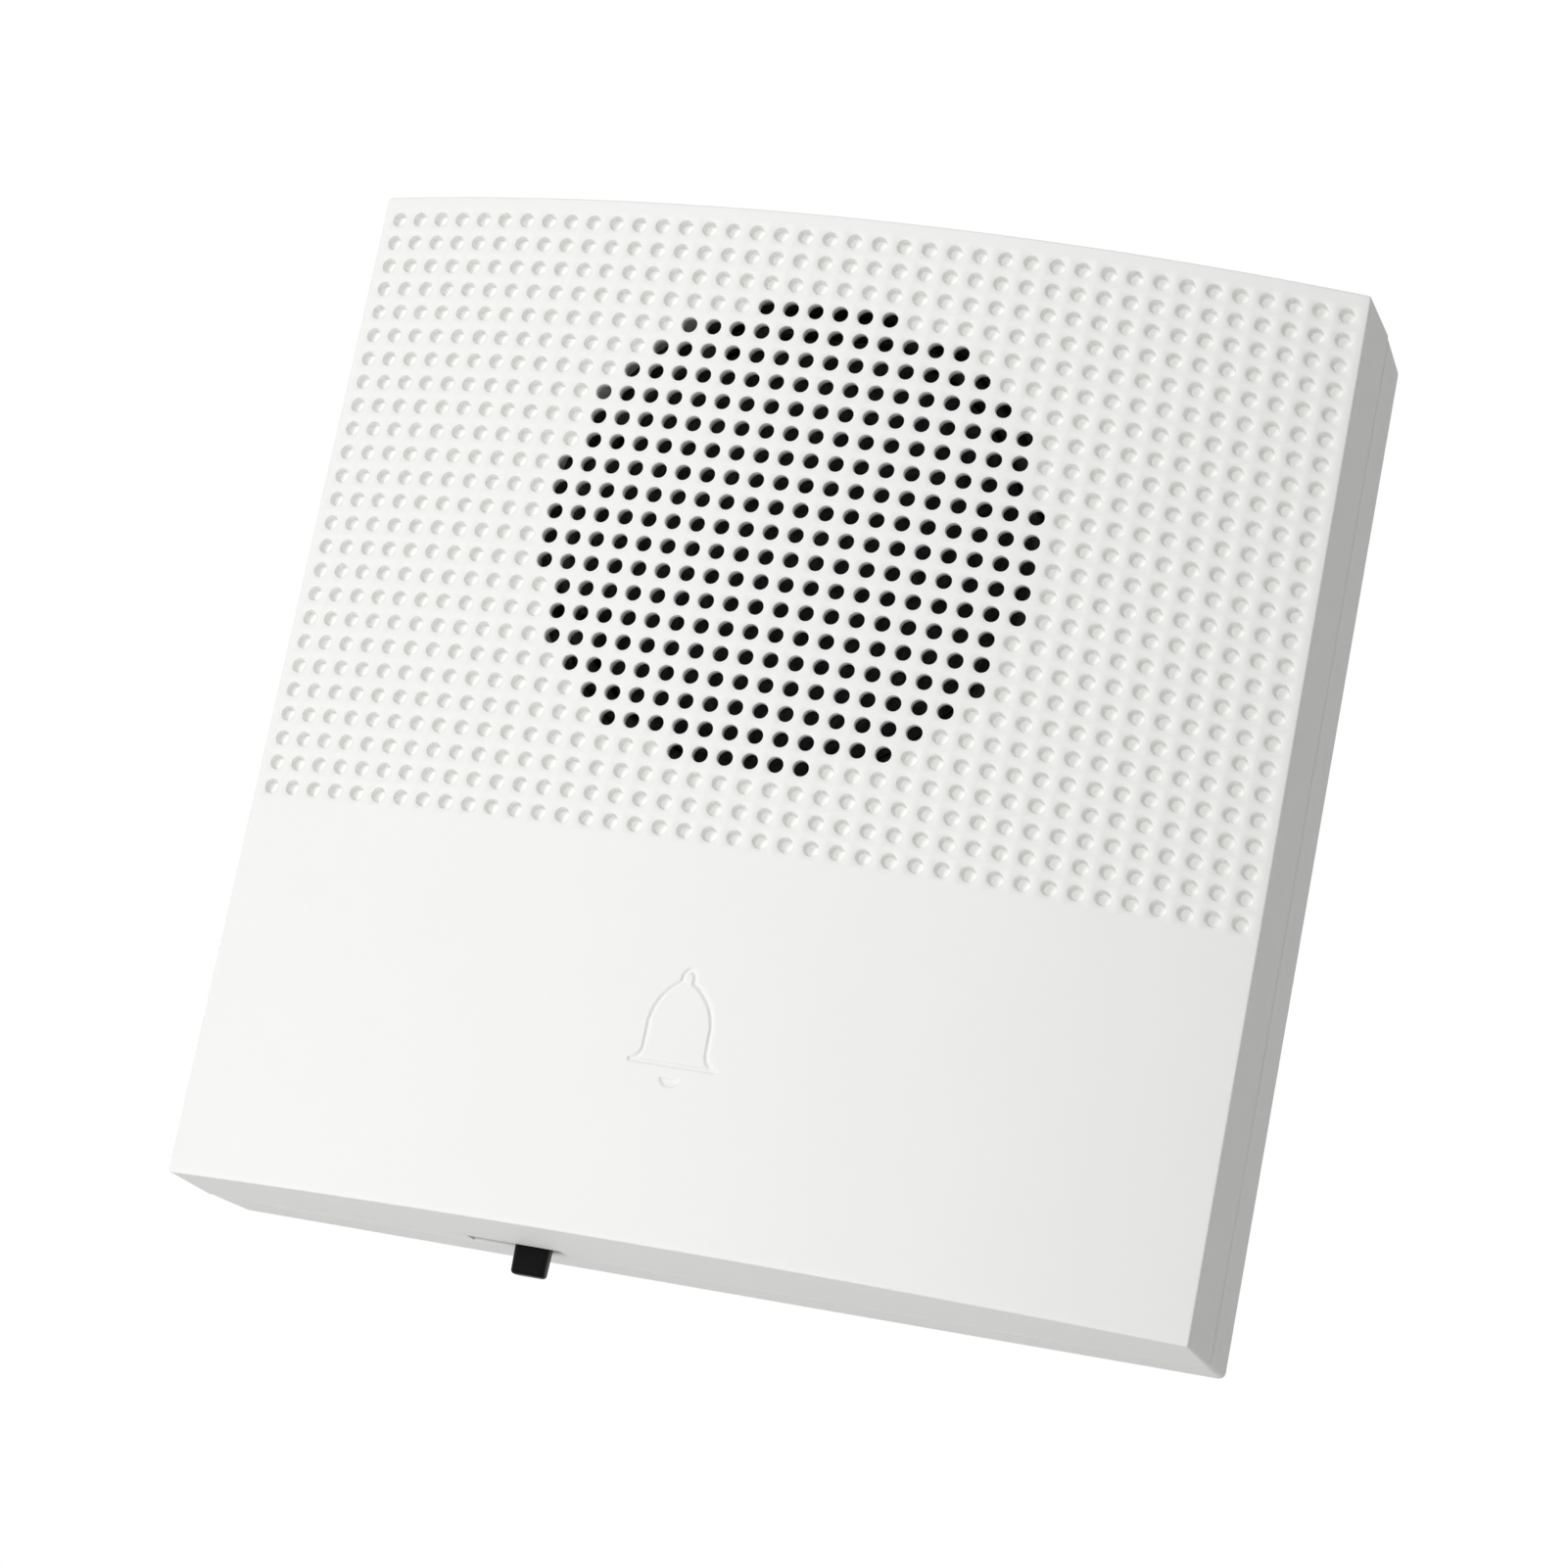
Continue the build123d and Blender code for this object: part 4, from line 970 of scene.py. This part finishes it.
white_grain = (0.48, 0.20 * mm, 3 * micron)
cover_white = moulded("cover_white", (0.875, 0.875, 0.860), (0.862, 0.862, 0.846), *white_grain)
finishes = {
    "base_white": moulded("base_white", (0.868, 0.868, 0.852), (0.855, 0.855, 0.838), *white_grain),
    "lever_black": moulded(
        "lever_black", (0.004, 0.004, 0.004), (0.006, 0.006, 0.006), 0.3, 0.25 * mm, gloss=0.1
    ),
    "board_green": board_paint(),
    "zinc_steel": pressed_paint("zinc_steel"),
    "nickel_steel": metal("nickel_steel", (0.66, 0.64, 0.60), (0.55, 0.53, 0.49), 0.26),
    "phenolic_brown": felted(
        "phenolic_brown", (0.13, 0.055, 0.022), (0.2, 0.09, 0.035), 0.7 * mm, 6 * micron, 0.45
    ),
    "tinned_brass": metal("tinned_brass", (0.68, 0.66, 0.61), (0.56, 0.54, 0.48), 0.36),
    "contact_bronze": metal("contact_bronze", (0.62, 0.40, 0.15), (0.5, 0.3, 0.1), 0.3, (0.2, 1.0, 1.0)),
    "terminal_green": moulded("terminal_green", (0.012, 0.17, 0.05), (0.009, 0.14, 0.042), 0.34, 0.3 * mm),
    "clamp_brass": metal("clamp_brass", (0.70, 0.52, 0.22), (0.58, 0.40, 0.15), 0.32),
    "resin_black": resin_paint(),
    "resistor_tan": resistor_paint(),
    "ceramic_orange": disc_paint(),
    "nylon_white": moulded("nylon_white", (0.74, 0.71, 0.62), (0.70, 0.66, 0.56), 0.38, 0.3 * mm),
    "wire_red": moulded("wire_red", (0.42, 0.012, 0.012), (0.34, 0.009, 0.009), 0.4, 0.2 * mm),
    "wire_black": moulded("wire_black", (0.012, 0.012, 0.012), (0.02, 0.02, 0.02), 0.4, 0.2 * mm),
    "ferrite": ferrite_paint(),
    "surround_cloth": cloth_roll_paint(),
    "spider_cloth": spider_paint(),
    "gasket_paper": felted(
        "gasket_paper", (0.045, 0.04, 0.038), (0.09, 0.085, 0.08), 0.6 * mm, 15 * micron
    ),
    "cone_paper": cone_paint("cone_paper"),
    "cap_paper": cone_paint("cap_paper"),
    "copper_wire": winding_paint(),
}
own_finishes = {
    "supply_capacitor": capacitor_paint("supply_capacitor"),
    "output_capacitor": capacitor_paint("output_capacitor"),
    "driver_transistor": transistor_paint(),
    "rectifier_diode": diode_paint(),
    "speaker_top_plate": pressed_paint("ground_plate", rings=True),
    "speaker_yoke": pressed_paint("ground_yoke", rings=True),
}


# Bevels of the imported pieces, in mm
bevels = {
    "circuit_board": 0.10, "board_screws": 0.08, "speaker_screws": 0.08, "switch_frame": 0.12,
    "switch_base": 0.10, "switch_lever": 0.08, "terminal_body": 0.15, "terminal_contacts": 0.06,
    "speaker_socket": 0.12, "speaker_plug": 0.12, "speaker_top_plate": 0.12, "speaker_magnet": 0.18,
    "speaker_yoke": 0.12, "lug_strip": 0.08, "speaker_lugs": 0.06, "driver_transistor": 0.12,
}
pole_bevel = 0.08
for number in range(1, 5):
    bevels[f"terminal_screw_{number}"] = pole_bevel
    bevels[f"terminal_clamp_{number}"] = pole_bevel
bevel_angle = 32.0
bevel_segments = 3
flat_angle = 0.5
weld_distance = 1 * micron


def soften(piece, width):
    """A small round on the edges. The file splits points at edges, so they are welded first."""
    split = piece.data.attributes.get("custom_normal")
    if split:
        piece.data.attributes.remove(split)
    piece.data.shade_smooth()
    weld = piece.modifiers.new("weld", "WELD")
    weld.merge_threshold = weld_distance
    planar = piece.modifiers.new("planar", "DECIMATE")
    planar.decimate_type = "DISSOLVE"
    planar.angle_limit = math.radians(flat_angle)
    bevel = piece.modifiers.new("bevel", "BEVEL")
    bevel.width = width
    bevel.segments = bevel_segments
    bevel.limit_method = "ANGLE"
    bevel.angle_limit = math.radians(bevel_angle)
    bevel.use_clamp_overlap = True
    weighted = piece.modifiers.new("weighted", "WEIGHTED_NORMAL")
    weighted.keep_sharp = False


def paint(piece, finish):
    piece.data.materials.clear()
    piece.data.materials.append(finish.material)


for part in frame["record"]["subparts"]:
    node, slot = part["node"], part["material_slot"]
    if node != "front_cover":
        paint(nodes[node], own_finishes.get(node) or finishes[slot])
    if node in bevels:
        soften(nodes[node], bevels[node] * mm)
paint(cover, cover_white)
paint(board_print(), printed_paint())

# Camera at the photograph's angle
camera_data = bpy.data.cameras.new("camera")
camera_data.lens = camera_lens
camera_data.sensor_width = camera_sensor
camera_data.sensor_fit = "HORIZONTAL"
camera_data.clip_start = nearest_seen
camera_data.clip_end = farthest_seen
camera = bpy.data.objects.new("camera", camera_data)
turn = Matrix.Rotation(math.radians(camera_yaw), 4, "Z")
turn = turn @ Matrix.Rotation(math.radians(90 + camera_pitch), 4, "X")
turn = turn @ Matrix.Rotation(math.radians(camera_roll), 4, "Z")
camera.matrix_world = Matrix.Translation(camera_place) @ turn
bpy.context.scene.collection.objects.link(camera)
bpy.context.scene.camera = camera

# Floor, below the camera
floor_z = -240.0 * mm
floor_radius = 1.6
floor_sides = 96
floor_shares = (1.0, 0.6, 0.2)
floor_white = (0.86, 0.86, 0.85)


def floor_piece():
    skin = Skin()
    rings = [
        [(x, y, floor_z) for x, y in ring_points((0.0, 0.0), floor_radius * share, floor_sides)]
        for share in floor_shares
    ]
    skin.chain(rings)
    skin.face(*rings[-1])
    piece = skin.made("floor")
    finish = Paint("floor_pale", floor_white, 0.8)
    finish.colour(finish.mix(finish.noise(60 * mm), floor_white, (0.84, 0.84, 0.83)))
    finish.bump(finish.noise(0.8 * mm), 20 * micron)
    paint(piece, finish)


floor_piece()


# Light
lamp_aim = (0.0, -15.0 * mm, 0.0)
ambient = 0.215
# Place, size across and strength of each lamp
lamps = {
    "key": ((-0.80, -0.92, 0.30), 0.22, 0.34),
    "front": ((0.03, -1.25, 0.20), 0.9, 0.355),
    "rear": ((-0.15, 0.65, 0.85), 0.6, 0.38),
    "fill": ((-0.026, -0.076, -0.225), 0.2, 0.20),
}


def lamp(name, place, size, strength):
    """A lamp that lights a facing surface as a sky of that strength would."""
    data = bpy.data.lights.new(name, "AREA")
    data.shape = "DISK"
    data.size = size
    data.energy = strength * math.pi**2 * Vector(place).length ** 2
    piece = bpy.data.objects.new(name, data)
    piece.location = place
    piece.rotation_euler = (Vector(lamp_aim) - Vector(place)).to_track_quat("-Z", "Y").to_euler()
    piece.visible_camera = False
    piece.visible_glossy = False
    bpy.context.scene.collection.objects.link(piece)


def sky():
    """A plain sky that the camera, mirrors and glass see as white."""
    world = bpy.data.worlds.new("world")
    bpy.context.scene.world = world
    world.use_nodes = True
    tree = world.node_tree
    tree.nodes.clear()
    rays = tree.nodes.new("ShaderNodeLightPath")
    seen = rays.outputs["Is Camera Ray"]
    for ray in ("Is Glossy Ray", "Is Transmission Ray"):
        either = tree.nodes.new("ShaderNodeMath")
        either.operation = "MAXIMUM"
        tree.links.new(seen, either.inputs[0])
        tree.links.new(rays.outputs[ray], either.inputs[1])
        seen = either.outputs[0]
    choice = tree.nodes.new("ShaderNodeMixShader")
    tree.links.new(seen, choice.inputs[0])
    for number, strength in ((1, ambient), (2, 1.0)):
        glow = tree.nodes.new("ShaderNodeBackground")
        glow.inputs["Color"].default_value = (1.0, 1.0, 1.0, 1.0)
        glow.inputs["Strength"].default_value = strength
        tree.links.new(glow.outputs[0], choice.inputs[number])
    out = tree.nodes.new("ShaderNodeOutputWorld")
    tree.links.new(choice.outputs[0], out.inputs["Surface"])


for name, (place, size, strength) in lamps.items():
    lamp(name, place, size, strength)
sky()
bpy.context.scene.view_settings.view_transform = "Standard"
